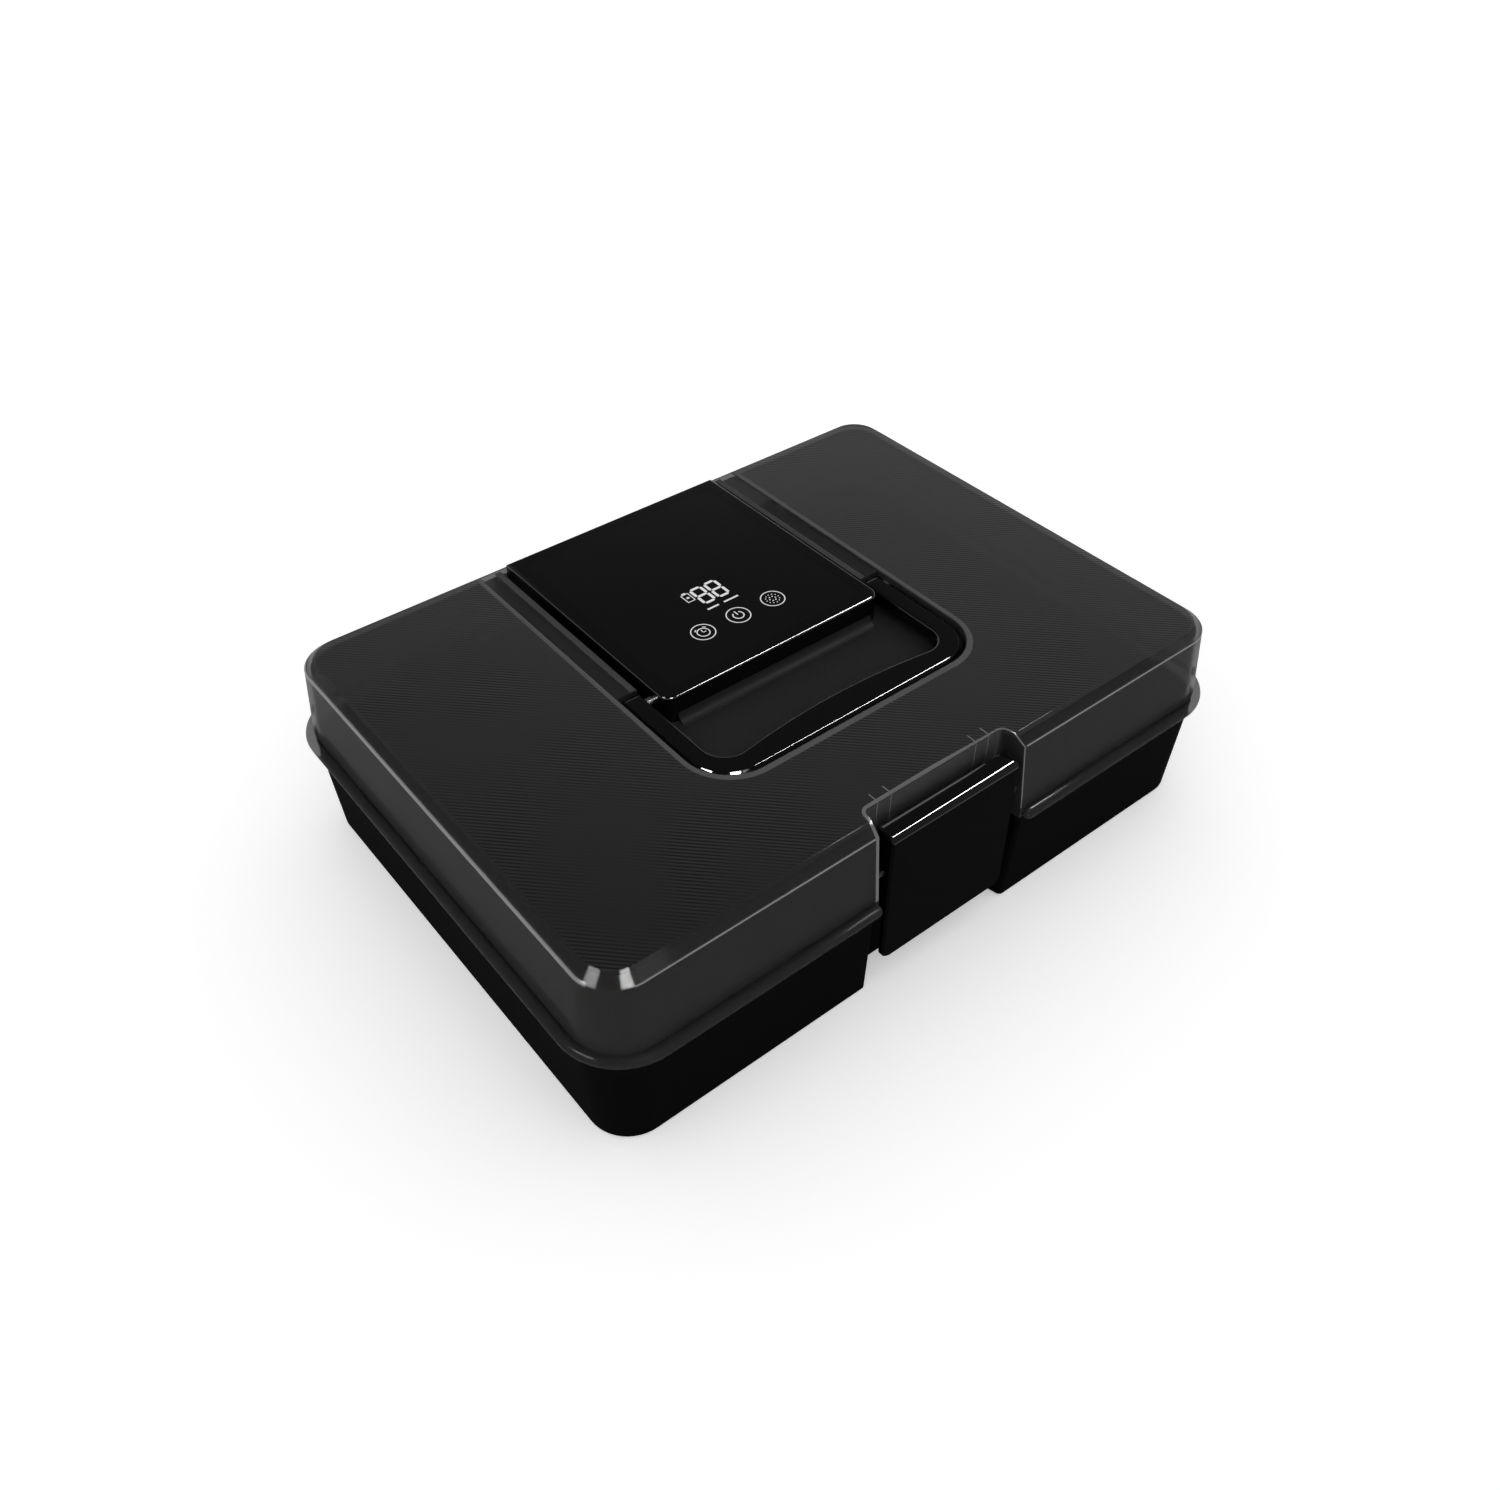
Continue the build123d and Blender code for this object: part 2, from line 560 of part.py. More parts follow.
def display_digits():
    """Seven lit segments for each of the two digits."""
    z0 = PANEL_Z - DISPLAY_GAP
    gap = 0.25
    half = DIGIT_H / 2
    bars = []
    for left in DIGIT_LEFT:
        right = left + DIGIT_W
        for row in range(3):
            y = DIGIT_Y + row * (DIGIT_H - SEGMENT_W) / 2
            ends = (left + SEGMENT_W + gap, right - SEGMENT_W - gap)
            bars.append(block(*ends, y, y + SEGMENT_W, z0, z0 + SEGMENT_T))
        for row in range(2):
            y = DIGIT_Y + row * half
            for x in (left, right - SEGMENT_W):
                bars.append(block(x, x + SEGMENT_W, y + gap, y + half - gap, z0, z0 + SEGMENT_T))
    return bars


def touch_pads():
    """Foam pads that carry the touch keys' fields to the panel."""
    return [rod(x, KEY_Y, BOARD_TOP_Z, PANEL_Z, PAD_R) for x in KEY_X]


def controller_chip():
    """Control chip."""
    return block(-28, -18, 30, 40, BOARD_TOP_Z, BOARD_TOP_Z + 1.4)


def board_parts():
    """Small components on the main board."""
    parts = [block(-30 + 4 * i, -28 + 4 * i, 46, 47.2, BOARD_TOP_Z, BOARD_TOP_Z + 0.8) for i in range(6)]
    parts += [block(12 + 4 * i, 14 + 4 * i, 22, 23.2, BOARD_TOP_Z, BOARD_TOP_Z + 0.8) for i in range(4)]
    return parts


def buzzer():
    """Round buzzer."""
    return rod(24, 34, BOARD_TOP_Z, BOARD_TOP_Z + 4, 4.5)


def tilt_switch():
    """Switch that cuts the lamps when the lid is lifted."""
    return cross_rod(8, 18, 50, BOARD_TOP_Z + 2, 2)


def module_cover():
    """Cover under the well's floor with the lamp window and the seats of its boards."""
    floor_z = COVER_Z + COVER_WALL
    body = plate(-COVER_HALF, COVER_HALF, *COVER_Y, COVER_Z, COVER_TOP_Z, 3)
    body -= plate(-COVER_HALF + COVER_WALL, COVER_HALF - COVER_WALL, COVER_Y[0] + COVER_WALL,
                  COVER_Y[1] - COVER_WALL, floor_z, COVER_TOP_Z + 1, 1.2)
    body -= block(-WINDOW_HALF, WINDOW_HALF, *WINDOW_Y, COVER_Z - 1, floor_z + 1)
    for x in (-SCREW_X, SCREW_X):
        for y in SCREW_Y:
            body += rod(x, y, COVER_Z, COVER_TOP_Z, COLUMN_R)
            body -= rod(x, y, COVER_Z - 1, COVER_TOP_Z + 1, SCREW_R + 0.1)
            body -= rod(x, y, COVER_Z - 1, COVER_Z + SCREW_HEAD_H + 0.2, SCREW_HEAD_R + 0.2)
    for x, y in uv_holes():
        body += rod(x, y, floor_z, UV_BOARD_Z, SMALL_BOSS_R)
        body -= rod(x, y, floor_z + 0.5, UV_BOARD_Z + 1, SMALL_SCREW[0] + 0.05)
    for x, y in charge_holes():
        body += rod(x, y, floor_z, CHARGE_Z, SMALL_BOSS_R)
        body -= rod(x, y, COVER_Z + 0.8, CHARGE_Z + 1, SMALL_SCREW[0] + 0.05)
    body -= block(-USB_W / 2 - 0.3, USB_W / 2 + 0.3, COVER_Y[1] - 5, COVER_Y[1] + 1,
                  CHARGE_Z + BOARD_T, CHARGE_Z + BOARD_T + USB_H + 0.3)
    body -= block(-CHARGE_HALF - 0.3, CHARGE_HALF + 0.3, COVER_Y[1] - 5, COVER_Y[1] - 1,
                  CHARGE_Z, CHARGE_Z + BOARD_T + 0.3)
    return body - rod(*ION_AT, COVER_Z - 1, floor_z + 1, 2.5)


def uv_holes():
    """Screw places of the lamp board."""
    x_hole, *rows = UV_SCREW_AT
    return [(x, y) for x in (-x_hole, x_hole) for y in rows]


def charge_holes():
    """Screw places of the charge board."""
    return [(x, CHARGE_Y[0] + BOARD_SCREW_INSET) for x in (-CHARGE_SCREW_X, CHARGE_SCREW_X)]


def module_screws():
    """Six long screws through cover and well floor into the housing's columns."""
    seat = COVER_Z + SCREW_HEAD_H + 0.2
    return [screw(x, y, seat, CEILING_Z - 2, SCREW_R, SCREW_HEAD_R, SCREW_HEAD_H)
            for x in (-SCREW_X, SCREW_X) for y in SCREW_Y]


def uv_board():
    """Aluminium board that carries the lamps."""
    body = plate(-UV_BOARD_HALF, UV_BOARD_HALF, *UV_BOARD_Y, UV_BOARD_Z, UV_BOARD_Z + BOARD_T, 2)
    for x, y in uv_holes():
        body -= rod(x, y, UV_BOARD_Z - 1, UV_BOARD_Z + BOARD_T + 1, SMALL_SCREW[0] + 0.15)
    return body


def uv_leds():
    """Eight UV lamps under their board."""
    lamps = []
    for x in UV_LED_X:
        for y in UV_LED_Y:
            lamps.append(block(x - UV_LED / 2, x + UV_LED / 2, y - UV_LED / 2, y + UV_LED / 2,
                               UV_BOARD_Z - UV_LED_H, UV_BOARD_Z))
    return lamps


def uv_window():
    """Clear window that lies inside the cover over its opening."""
    z0 = COVER_Z + COVER_WALL
    return block(-WINDOW_HALF - WINDOW_LIP, WINDOW_HALF + WINDOW_LIP, WINDOW_Y[0] - WINDOW_LIP,
                 WINDOW_Y[1] + WINDOW_LIP, z0, z0 + WINDOW_T)


def uv_board_screws():
    """Four screws of the lamp board, from above."""
    return [screw(x, y, UV_BOARD_Z + BOARD_T, COVER_Z + COVER_WALL + 1, *SMALL_SCREW, up=False)
            for x, y in uv_holes()]


def battery_pack():
    """Flat rechargeable pack."""
    low_z = COVER_Z + COVER_WALL
    return plate(*BATTERY_X, *BATTERY_Y, low_z, low_z + BATTERY_H, 3)


def ion_unit():
    """Potted ion source."""
    low_z = COVER_Z + COVER_WALL
    return plate(*ION_X, *ION_Y, low_z, low_z + ION_H, 1)


def ion_brush():
    """Carbon brush that looks down through the cover."""
    return rod(*ION_AT, COVER_Z + 0.2, COVER_Z + COVER_WALL, 1.5)


def charge_board():
    """Small board with the charging inlet."""
    body = plate(-CHARGE_HALF, CHARGE_HALF, *CHARGE_Y, CHARGE_Z, CHARGE_Z + BOARD_T, 1)
    for x, y in charge_holes():
        body -= rod(x, y, CHARGE_Z - 1, CHARGE_Z + BOARD_T + 1, SMALL_SCREW[0] + 0.15)
    return body


def charge_board_screws():
    """Two screws of the charge board."""
    return [screw(x, y, CHARGE_Z + BOARD_T, COVER_Z + 1, *SMALL_SCREW, up=False) for x, y in charge_holes()]


def usb_socket():
    """Charging inlet, its mouth just inside the lid's rear face."""
    z0 = CHARGE_Z + BOARD_T
    z_mid = z0 + USB_H / 2
    shape = extrude(Plane.XZ * RectangleRounded(USB_W, USB_H, 1.5), USB_D)
    shell = Pos(0, USB_MOUTH_Y, z_mid) * shape
    mouth = extrude(Plane.XZ * RectangleRounded(USB_W - 0.7, USB_H - 0.7, 1.2), USB_D - 1)
    return shell - Pos(0, USB_MOUTH_Y, z_mid) * mouth


def wire(points, bend_r):
    """Round wire along straight runs joined by arcs."""
    path = FilletPolyline(*points, radius=bend_r)
    return sweep(Plane(origin=path @ 0, z_dir=path % 0) * Circle(WIRE_R), path=path)


def leads():
    """Wires between battery, boards and ion source, and the flat cable between the boards."""
    board_z = CHARGE_Z + BOARD_T
    battery_rear = BATTERY_Y[1]
    out_z = COVER_Z + 7.5
    over_z = BOARD_Z - 4.4
    wires = [block(-30, -18, 44, 44.6, UV_BOARD_Z + BOARD_T, BOARD_Z)]
    for x in (-6.0, -3.0):
        route = [(x, battery_rear, out_z), (x, battery_rear + 6, out_z), (x, battery_rear + 6, board_z)]
        wires.append(wire(route, 1.4))
    for x in (6.0, 9.0):
        route = [(x, 96, board_z), (x, 96, over_z), (x, 57, over_z), (x, 57, BOARD_Z)]
        wires.append(wire(route, 1.9))
    wires += [rod(x, 58, COVER_Z + COVER_WALL + ION_H, BOARD_Z, WIRE_R) for x in (28.0, 31.0)]
    return wires


def latch():
    """Long flap with side flanges, a top flange and the hook at its foot."""
    low, high = LATCH_Z
    plate_back = LATCH_FRONT_Y + LATCH_T
    body = block(-LATCH_HALF, LATCH_HALF, LATCH_FRONT_Y, LATCH_BACK_Y, low, high)
    uprights = body.edges().filter_by(Axis.Y)
    body = fillet([e for e in uprights if e.center().Z < low + 0.1], LATCH_CORNER_R)
    uprights = body.edges().filter_by(Axis.Y)
    body = fillet([e for e in uprights if e.center().Z > high - 0.1], LATCH_TOP_R)
    body = chamfer(body.faces().sort_by(Axis.Y)[0].edges(), LATCH_EDGE)
    bevel = [(LATCH_FRONT_Y - 1, high - LATCH_BEVEL - 1), (LATCH_FRONT_Y + LATCH_BEVEL + 1, high + 1),
             (LATCH_FRONT_Y - 1, high + 1)]
    body -= side_profile(bevel, -BODY_W, BODY_W)
    side = LATCH_HALF - LATCH_FLANGE
    body -= block(-side, side, plate_back, 0, low - 1, high - LATCH_FLANGE)
    body -= side_profile([(plate_back, low - 1), (plate_back, low + LATCH_FOOT_RISE),
                          (LATCH_BACK_Y + 1, low + 1.5 * LATCH_FOOT_RISE), (LATCH_BACK_Y + 1, low - 1)],
                         -BODY_W, BODY_W)
    hook_top = CATCH_Z[0] - 0.4
    body += side_profile([(plate_back - 0.5, hook_top - 4.0), (plate_back - 0.5, hook_top),
                          (CATCH_Y - HOOK_GAP, hook_top), (CATCH_Y - HOOK_GAP, hook_top - 1.5)],
                         -CATCH_HALF, CATCH_HALF)
    return body - cross_rod(-BODY_W, BODY_W, LATCH_PIN_Y, LATCH_PIN_Z, LATCH_PIN_R + RUN)


def latch_pin():
    """Steel pin across the notch."""
    half = NOTCH_LID_FRONT_HALF + LID_WALL - 0.6
    return cross_rod(-half, half, LATCH_PIN_Y, LATCH_PIN_Z, LATCH_PIN_R)


PIECES = {
    "base_shell": base_shell,
    "base_tray": base_tray,
    "tray_cups": tray_cups,
    "rubber_feet": rubber_feet,
    "rating_label": rating_label,
    "hinge_pins": hinge_pins,
    "lid_shell": lid_shell,
    "module_housing": module_housing,
    "touch_panel": touch_panel,
    "panel_tape": panel_tape,
    "display_block": display_block,
    "display_digits": display_digits,
    "main_board": main_board,
    "touch_pads": touch_pads,
    "controller_chip": controller_chip,
    "board_parts": board_parts,
    "buzzer": buzzer,
    "tilt_switch": tilt_switch,
    "board_screws": board_screws,
    "module_cover": module_cover,
    "module_screws": module_screws,
    "uv_board": uv_board,
    "uv_leds": uv_leds,
    "uv_window": uv_window,
    "uv_board_screws": uv_board_screws,
    "battery_pack": battery_pack,
    "ion_unit": ion_unit,
    "ion_brush": ion_brush,
    "charge_board": charge_board,
    "charge_board_screws": charge_board_screws,
    "usb_socket": usb_socket,
    "leads": leads,
    "handle": handle,
    "handle_pins": handle_pins,
    "latch": latch,
    "latch_pin": latch_pin,
}

os.makedirs("parts", exist_ok=True)
for name, make in PIECES.items():
    made = make()
    solids = made if isinstance(made, list) else [made]
    piece = Compound(children=[s for part in solids for s in part.solids()])
    print(name, len(piece.solids()), round(piece.volume))
    export_step(piece, f"parts/{name}.step")
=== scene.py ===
import math
import bmesh
import bpy
import numpy as np
from mathutils import Matrix, Vector


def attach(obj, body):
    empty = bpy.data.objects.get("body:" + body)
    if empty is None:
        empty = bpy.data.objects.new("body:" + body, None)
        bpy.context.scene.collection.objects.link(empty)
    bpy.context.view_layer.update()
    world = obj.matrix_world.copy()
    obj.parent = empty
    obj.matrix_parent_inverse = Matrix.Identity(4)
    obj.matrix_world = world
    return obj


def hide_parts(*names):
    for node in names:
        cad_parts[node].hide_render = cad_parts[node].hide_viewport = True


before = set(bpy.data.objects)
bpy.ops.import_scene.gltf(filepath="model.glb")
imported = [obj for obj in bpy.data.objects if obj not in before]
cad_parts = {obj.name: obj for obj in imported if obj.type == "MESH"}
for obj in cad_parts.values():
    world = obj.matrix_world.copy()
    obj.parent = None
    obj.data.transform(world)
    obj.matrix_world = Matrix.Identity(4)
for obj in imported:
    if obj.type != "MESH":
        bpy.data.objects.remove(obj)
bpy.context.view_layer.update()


# Camera: a 33 mm lens about half a metre from the box, looking down on its front left corner.
# Place and angles come from the straight edges of the box in the photograph.
CAMERA_AT = (-0.27108, -0.33285, 0.41782)
CAMERA_TURN = math.radians(-38.605)
CAMERA_RISE = math.radians(42.33)
CAMERA_ROLL = math.radians(-0.186)
FOCAL_PIXELS = 1365.904
PHOTO_WIDTH = 1500
SENSOR = 36.0

back = Vector((math.sin(CAMERA_TURN) * math.cos(CAMERA_RISE),
               -math.cos(CAMERA_TURN) * math.cos(CAMERA_RISE), math.sin(CAMERA_RISE)))
level_right = back.cross(Vector((0, 0, -1))).normalized()
level_up = back.cross(level_right)
right = math.cos(CAMERA_ROLL) * level_right + math.sin(CAMERA_ROLL) * level_up
up = -math.sin(CAMERA_ROLL) * level_right + math.cos(CAMERA_ROLL) * level_up
lens = bpy.data.cameras.new("camera")
lens.sensor_fit = "HORIZONTAL"
lens.sensor_width = SENSOR
lens.lens = FOCAL_PIXELS * SENSOR / PHOTO_WIDTH
camera = bpy.data.objects.new("camera", lens)
camera.matrix_world = Matrix((
    (right.x, up.x, back.x, CAMERA_AT[0]), (right.y, up.y, back.y, CAMERA_AT[1]),
    (right.z, up.z, back.z, CAMERA_AT[2]), (0, 0, 0, 1)))
bpy.context.scene.collection.objects.link(camera)
bpy.context.scene.camera = camera
bpy.context.scene.view_settings.view_transform = "Standard"


# Floor: a plain white paper sweep under and round the box, which curves up towards its far edges.
# The paper is matt and keeps the soft shadow; its glow makes it white to the camera, mirrors and glass.
FLOOR_HALF = 6.0
FLOOR_STEPS = 41
SWEEP_START = 4.5
SWEEP_RISE_MM = 250
PAPER = "#F4F4F4"
PAPER_GLOW = 0.34


def linear(code):
    """Linear colour with alpha 1 from an sRGB hex value: each channel through the sRGB curve."""
    srgb = [int(code[i:i + 2], 16) / 255 for i in (1, 3, 5)]
    return tuple(c / 12.92 if c <= 0.04045 else ((c + 0.055) / 1.055) ** 2.4 for c in srgb) + (1.0,)


def add(tree, kind, inputs=(), **settings):
    """One more node in the tree: settings by name, and inputs that are values or sockets to link."""
    node = tree.nodes.new(kind)
    for name, value in settings.items():
        setattr(node, name, value)
    for name, value in dict(inputs).items():
        if isinstance(value, bpy.types.NodeSocket):
            tree.links.new(value, node.inputs[name])
        else:
            node.inputs[name].default_value = value
    return node


def new_finish(name, **sockets):
    """Material with one Principled shader; returns it with its tree, shader and Object coordinates."""
    material = bpy.data.materials.new(name)
    material.use_nodes = True
    tree = material.node_tree
    shader = tree.nodes["Principled BSDF"]
    for socket, value in sockets.items():
        shader.inputs[socket.replace("_", " ")].default_value = value
    place = add(tree, "ShaderNodeTexCoord").outputs["Object"]
    return material, tree, shader, place


def quads(index):
    """Four-cornered faces between the neighbours in a grid of vertex numbers."""
    corners = [index[:-1, :-1], index[1:, :-1], index[1:, 1:], index[:-1, 1:]]
    return np.stack(corners, -1).reshape(-1, 4).tolist()


def new_piece(name, mesh):
    """Object for the mesh at the origin, linked to the scene."""
    piece = bpy.data.objects.new(name, mesh)
    bpy.context.scene.collection.objects.link(piece)
    return piece


def grid_mesh(name, points, wrap_u=False, wrap_v=False):
    """Mesh of quads over a grid of points in millimetres, array (u, v, 3), wrapped where asked."""
    n_u, n_v = points.shape[:2]
    index = np.arange(n_u * n_v).reshape(n_u, n_v)
    if wrap_u:
        index = np.vstack([index, index[:1]])
    if wrap_v:
        index = np.hstack([index, index[:, :1]])
    mesh = bpy.data.meshes.new(name)
    mesh.from_pydata((points.reshape(-1, 3) / 1000).tolist(), [], quads(index))
    return new_piece(name, mesh)


# the floor's height is the square of the way past the sweep's start, times the rise
side = np.linspace(-FLOOR_HALF, FLOOR_HALF, FLOOR_STEPS) * 1000
floor_x, floor_y = np.meshgrid(side, side, indexing="ij")
beyond = np.maximum(np.hypot(floor_x, floor_y) / 1000 - SWEEP_START, 0)
floor = grid_mesh("floor", np.stack([floor_x, floor_y, SWEEP_RISE_MM * beyond ** 2], -1))
floor.data.shade_smooth()
paper, tree, shader, place = new_finish("white_paper_sweep", Base_Color=linear(PAPER), Roughness=0.9,
                                        Specular_IOR_Level=0.1)
path = add(tree, "ShaderNodeLightPath")
mirror = add(tree, "ShaderNodeMath",
             {0: path.outputs["Is Glossy Ray"], 1: path.outputs["Is Transmission Ray"]}, operation="MAXIMUM")
seen = add(tree, "ShaderNodeMath",
           {0: path.outputs["Is Camera Ray"], 1: mirror.outputs[0]}, operation="MAXIMUM")
glow = add(tree, "ShaderNodeMath", {0: seen.outputs[0], 1: PAPER_GLOW}, operation="MULTIPLY")
light = add(tree, "ShaderNodeEmission", {"Strength": glow.outputs[0]})
total = add(tree, "ShaderNodeAddShader", {0: shader.outputs[0], 1: light.outputs[0]})
tree.links.new(total.outputs[0], tree.nodes["Material Output"].inputs["Surface"])
floor.data.materials.append(paper)


# Studio: even white light, a white horizon under a dark ceiling, and four long lamps round the front.
# Glossy black plastic shows the dark ceiling, and rounded edges show the lamps, which light nothing.
WORLD_FILL = 0.8
CEILING = 0.08
HORIZON_LOW = 0.10
HORIZON_HIGH = 0.60
CORNER = Vector((-0.146, -0.104, 0.084))
# each lamp: the ways from the lid's front left corner to its ends, its distance and height in m, its watts
LAMPS = (
    ("left_lamp", (-0.752, 0.26, 0.607), (-0.677, -0.115, 0.73), 0.69, 0.10, 6.0),
    ("front_lamp", (-0.232, -0.566, 0.791), (0.09, -0.647, 0.757), 0.69, 0.10, 10.7),
    ("dim_lamp", (0.16, -0.648, 0.744), (0.37, -0.622, 0.69), 0.69, 0.10, 0.24),
    ("right_lamp", (0.50, -0.50, 0.70), (0.686, 0.22, 0.68), 1.5, 0.08, 36.0),
)

world = bpy.data.worlds.new("studio")
bpy.context.scene.world = world
world.use_nodes = True
tree = world.node_tree
sky = tree.nodes["Background"]
sky.inputs["Color"].default_value = linear("#FFFFFF")
way = add(tree, "ShaderNodeTexCoord").outputs["Generated"]
height = add(tree, "ShaderNodeSeparateXYZ", {0: way}).outputs["Z"]
dome = add(tree, "ShaderNodeMapRange", {"Value": height, "From Min": HORIZON_LOW, "From Max": HORIZON_HIGH,
                                        "To Min": 1.0, "To Max": CEILING}, interpolation_type="SMOOTHSTEP")
path = add(tree, "ShaderNodeLightPath")
strength = add(tree, "ShaderNodeMix", {0: path.outputs["Is Diffuse Ray"], 2: dome.outputs[0], 3: WORLD_FILL})
# the camera, also through glass, sees plain white past the floor's edge
seen = add(tree, "ShaderNodeMath",
           {0: path.outputs["Is Camera Ray"], 1: path.outputs["Is Transmission Ray"]}, operation="MAXIMUM")
white = add(tree, "ShaderNodeMix", {0: seen.outputs[0], 2: strength.outputs[0], 3: 1.0})
tree.links.new(white.outputs[0], sky.inputs["Strength"])


def strip_lamp(name, start, end, reach, tall, watts):
    """Long lamp that faces the lid's front left corner: its ends lie that way, as seen from the corner."""
    start = CORNER + Vector(start).normalized() * reach
    end = CORNER + Vector(end).normalized() * reach
    middle = (start + end) / 2
    along = (end - start).normalized()
    out = (middle - CORNER).normalized()
    lamp = bpy.data.lights.new(name, "AREA")
    lamp.shape = "RECTANGLE"
    lamp.size = (end - start).length
    lamp.size_y = tall
    lamp.energy = watts
    holder = bpy.data.objects.new(name, lamp)
    across = out.cross(along)
    holder.matrix_world = Matrix((
        (along.x, across.x, out.x, middle.x), (along.y, across.y, out.y, middle.y),
        (along.z, across.z, out.z, middle.z), (0, 0, 0, 1)))
    holder.visible_diffuse = False
    holder.visible_transmission = False
    bpy.context.scene.collection.objects.link(holder)


for lamp_facts in LAMPS:
    strip_lamp(*lamp_facts)


# Tub: satin black ABS, injection moulded, with the notch, the catch and the hinge knuckles.
# The mould's fine spark grain breaks up what it mirrors, and its gloss drifts a little from patch to patch.
MERGE_M = 2e-6
SLIVER_M = 1e-6
SHARP_EDGE = 28.0
NOISE_LOW = 0.3
NOISE_HIGH = 0.7


def soften(form, sharp):
    """Smooth shading but for edges where the faces meet at more than the given angle in degrees."""
    for face in form.faces:
        face.smooth = True
    for edge in form.edges:
        edge.smooth = len(edge.link_faces) == 2 and edge.calc_face_angle(0.0) < math.radians(sharp)


def merge(mesh, sharp, close=False):
    """Merges a mesh's doubles and softens it; where asked, fills its open ends and turns its faces out."""
    form = bmesh.new()
    form.from_mesh(mesh)
    bmesh.ops.remove_doubles(form, verts=form.verts, dist=MERGE_M)
    bmesh.ops.dissolve_degenerate(form, dist=SLIVER_M, edges=form.edges)
    if close:
        bmesh.ops.holes_fill(form, edges=form.edges)
        bmesh.ops.recalc_face_normals(form, faces=form.faces)
    soften(form, sharp)
    form.to_mesh(mesh)
    form.free()


def even_normals(piece):
    """Weights normals by face area, so that flat faces next to small rounds stay flat."""
    weighted = piece.modifiers.new("even_normals", "WEIGHTED_NORMAL")
    weighted.keep_sharp = True


def finished(node):
    """Copy of a CAD mesh with its doubles merged, smooth but for its sharp edges."""
    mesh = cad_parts[node].data.copy()
    for layer in [a for a in mesh.attributes if a.name == "custom_normal"]:
        mesh.attributes.remove(layer)
    mesh.materials.clear()
    merge(mesh, SHARP_EDGE)
    piece = new_piece(node + "_finished", mesh)
    even_normals(piece)
    return piece


def fit(piece, material, body, slot, *nodes):
    """Gives a piece its material and its body, and hides the CAD nodes that it stands for. The slot is not
    used.
    """
    piece.data.materials.append(material)
    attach(piece, body)
    if nodes:
        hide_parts(*nodes)


def dress(material, *nodes):
    """Gives CAD nodes that stay a better material."""
    for node in nodes:
        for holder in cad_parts[node].material_slots:
            holder.material = material


def skin(tree, shader, place, grain_mm, height_mm, rough, patch_mm):
    """Moulded skin: fine noise of the grain's size as bump, and slow noise that varies roughness."""
    grain = add(tree, "ShaderNodeTexNoise", {"Vector": place, "Scale": 1000 / grain_mm, "Detail": 3.0})
    bump = add(tree, "ShaderNodeBump", {"Height": grain.outputs[0], "Distance": height_mm / 1000,
                                        "Strength": 1.0})
    tree.links.new(bump.outputs[0], shader.inputs["Normal"])
    patch = add(tree, "ShaderNodeTexNoise", {"Vector": place, "Scale": 1000 / patch_mm, "Detail": 4.0})
    spread = add(tree, "ShaderNodeMapRange",
                 {"Value": patch.outputs[0], "From Min": NOISE_LOW, "From Max": NOISE_HIGH,
                  "To Min": rough[0], "To Max": rough[1]})
    tree.links.new(spread.outputs[0], shader.inputs["Roughness"])
    return patch.outputs[0]


def skinned(name, code, grain_mm, height_mm, rough, patch_mm, **sockets):
    """Material of one colour with a moulded skin."""
    material, tree, shader, place = new_finish(name, Base_Color=linear(code), **sockets)
    skin(tree, shader, place, grain_mm, height_mm, rough, patch_mm)
    return material


satin_abs = skinned("satin_moulded_abs", "#070707", grain_mm=0.5, height_mm=0.004, rough=(0.32, 0.42),
                    patch_mm=14.0, Specular_IOR_Level=0.0, Coat_Weight=0.02, Coat_Roughness=0.22)
fit(finished("base_shell"), satin_abs, "base", "black_satin", "base_shell")


# Tray: thin matt black liner of polystyrene, a flat deck with six rounded cups welded into it.
# It drops into a step below the tub's rim and is seen through the lid's walls. Forming leaves it dull.
sheet_ps = skinned("matt_polystyrene_sheet", "#171717", grain_mm=1.2, height_mm=0.006, rough=(0.38, 0.5),
                   patch_mm=30.0, Specular_IOR_Level=0.05)
for node in ("base_tray", "tray_cups"):
    fit(finished(node), sheet_ps, "base", "tray_black", node)


# Feet and label: four soft rubber buttons glued into recesses, and a blank matt film label.
# The feet are hollow in the middle of their undersides, so that each stands on a ring.
FOOT_PLACES = ((-125, -85), (125, -85), (-125, 85), (125, 85))
# radius and height of the points of a foot's outline
FOOT_PROFILE = ((0, 0.25), (2.2, 0.12), (4.4, 0.02), (5.9, 0.05), (6.6, 0.35), (6.88, 0.9), (6.9, 2.0),
                (0, 2.0))
FOOT_SIDES = 48


def close_form(piece, sharp=SHARP_EDGE):
    """Merges a piece's doubles, closes it, turns its faces out and smooths all but the sharp edges."""
    merge(piece.data, sharp, close=True)
    even_normals(piece)
    return piece


# ground rubber looks dull and powdery, and the film's matt face an even pale grey
soft_rubber = skinned("soft_black_rubber", "#1B1B1B", grain_mm=0.35, height_mm=0.02, rough=(0.6, 0.75),
                      patch_mm=5.0, Specular_IOR_Level=0.3)
around = np.linspace(0, 2 * math.pi, FOOT_SIDES, endpoint=False)
radius, rise = np.array(FOOT_PROFILE).T
for number, (x, y) in enumerate(FOOT_PLACES):
    # a foot is its profile turned about an upright line through its middle
    turned = np.stack([x + radius[:, None] * np.cos(around), y + radius[:, None] * np.sin(around),
                       np.repeat(rise[:, None], FOOT_SIDES, 1)], -1)
    foot = close_form(grid_mesh(f"rubber_foot_{number + 1}", turned, wrap_v=True))
    fit(foot, soft_rubber, "base", "rubber", *(["rubber_feet"] if number == 0 else []))
film = skinned("matt_silver_film", "#C9C9C7", grain_mm=0.8, height_mm=0.004, rough=(0.4, 0.5), patch_mm=12.0)
dress(film, "rating_label")


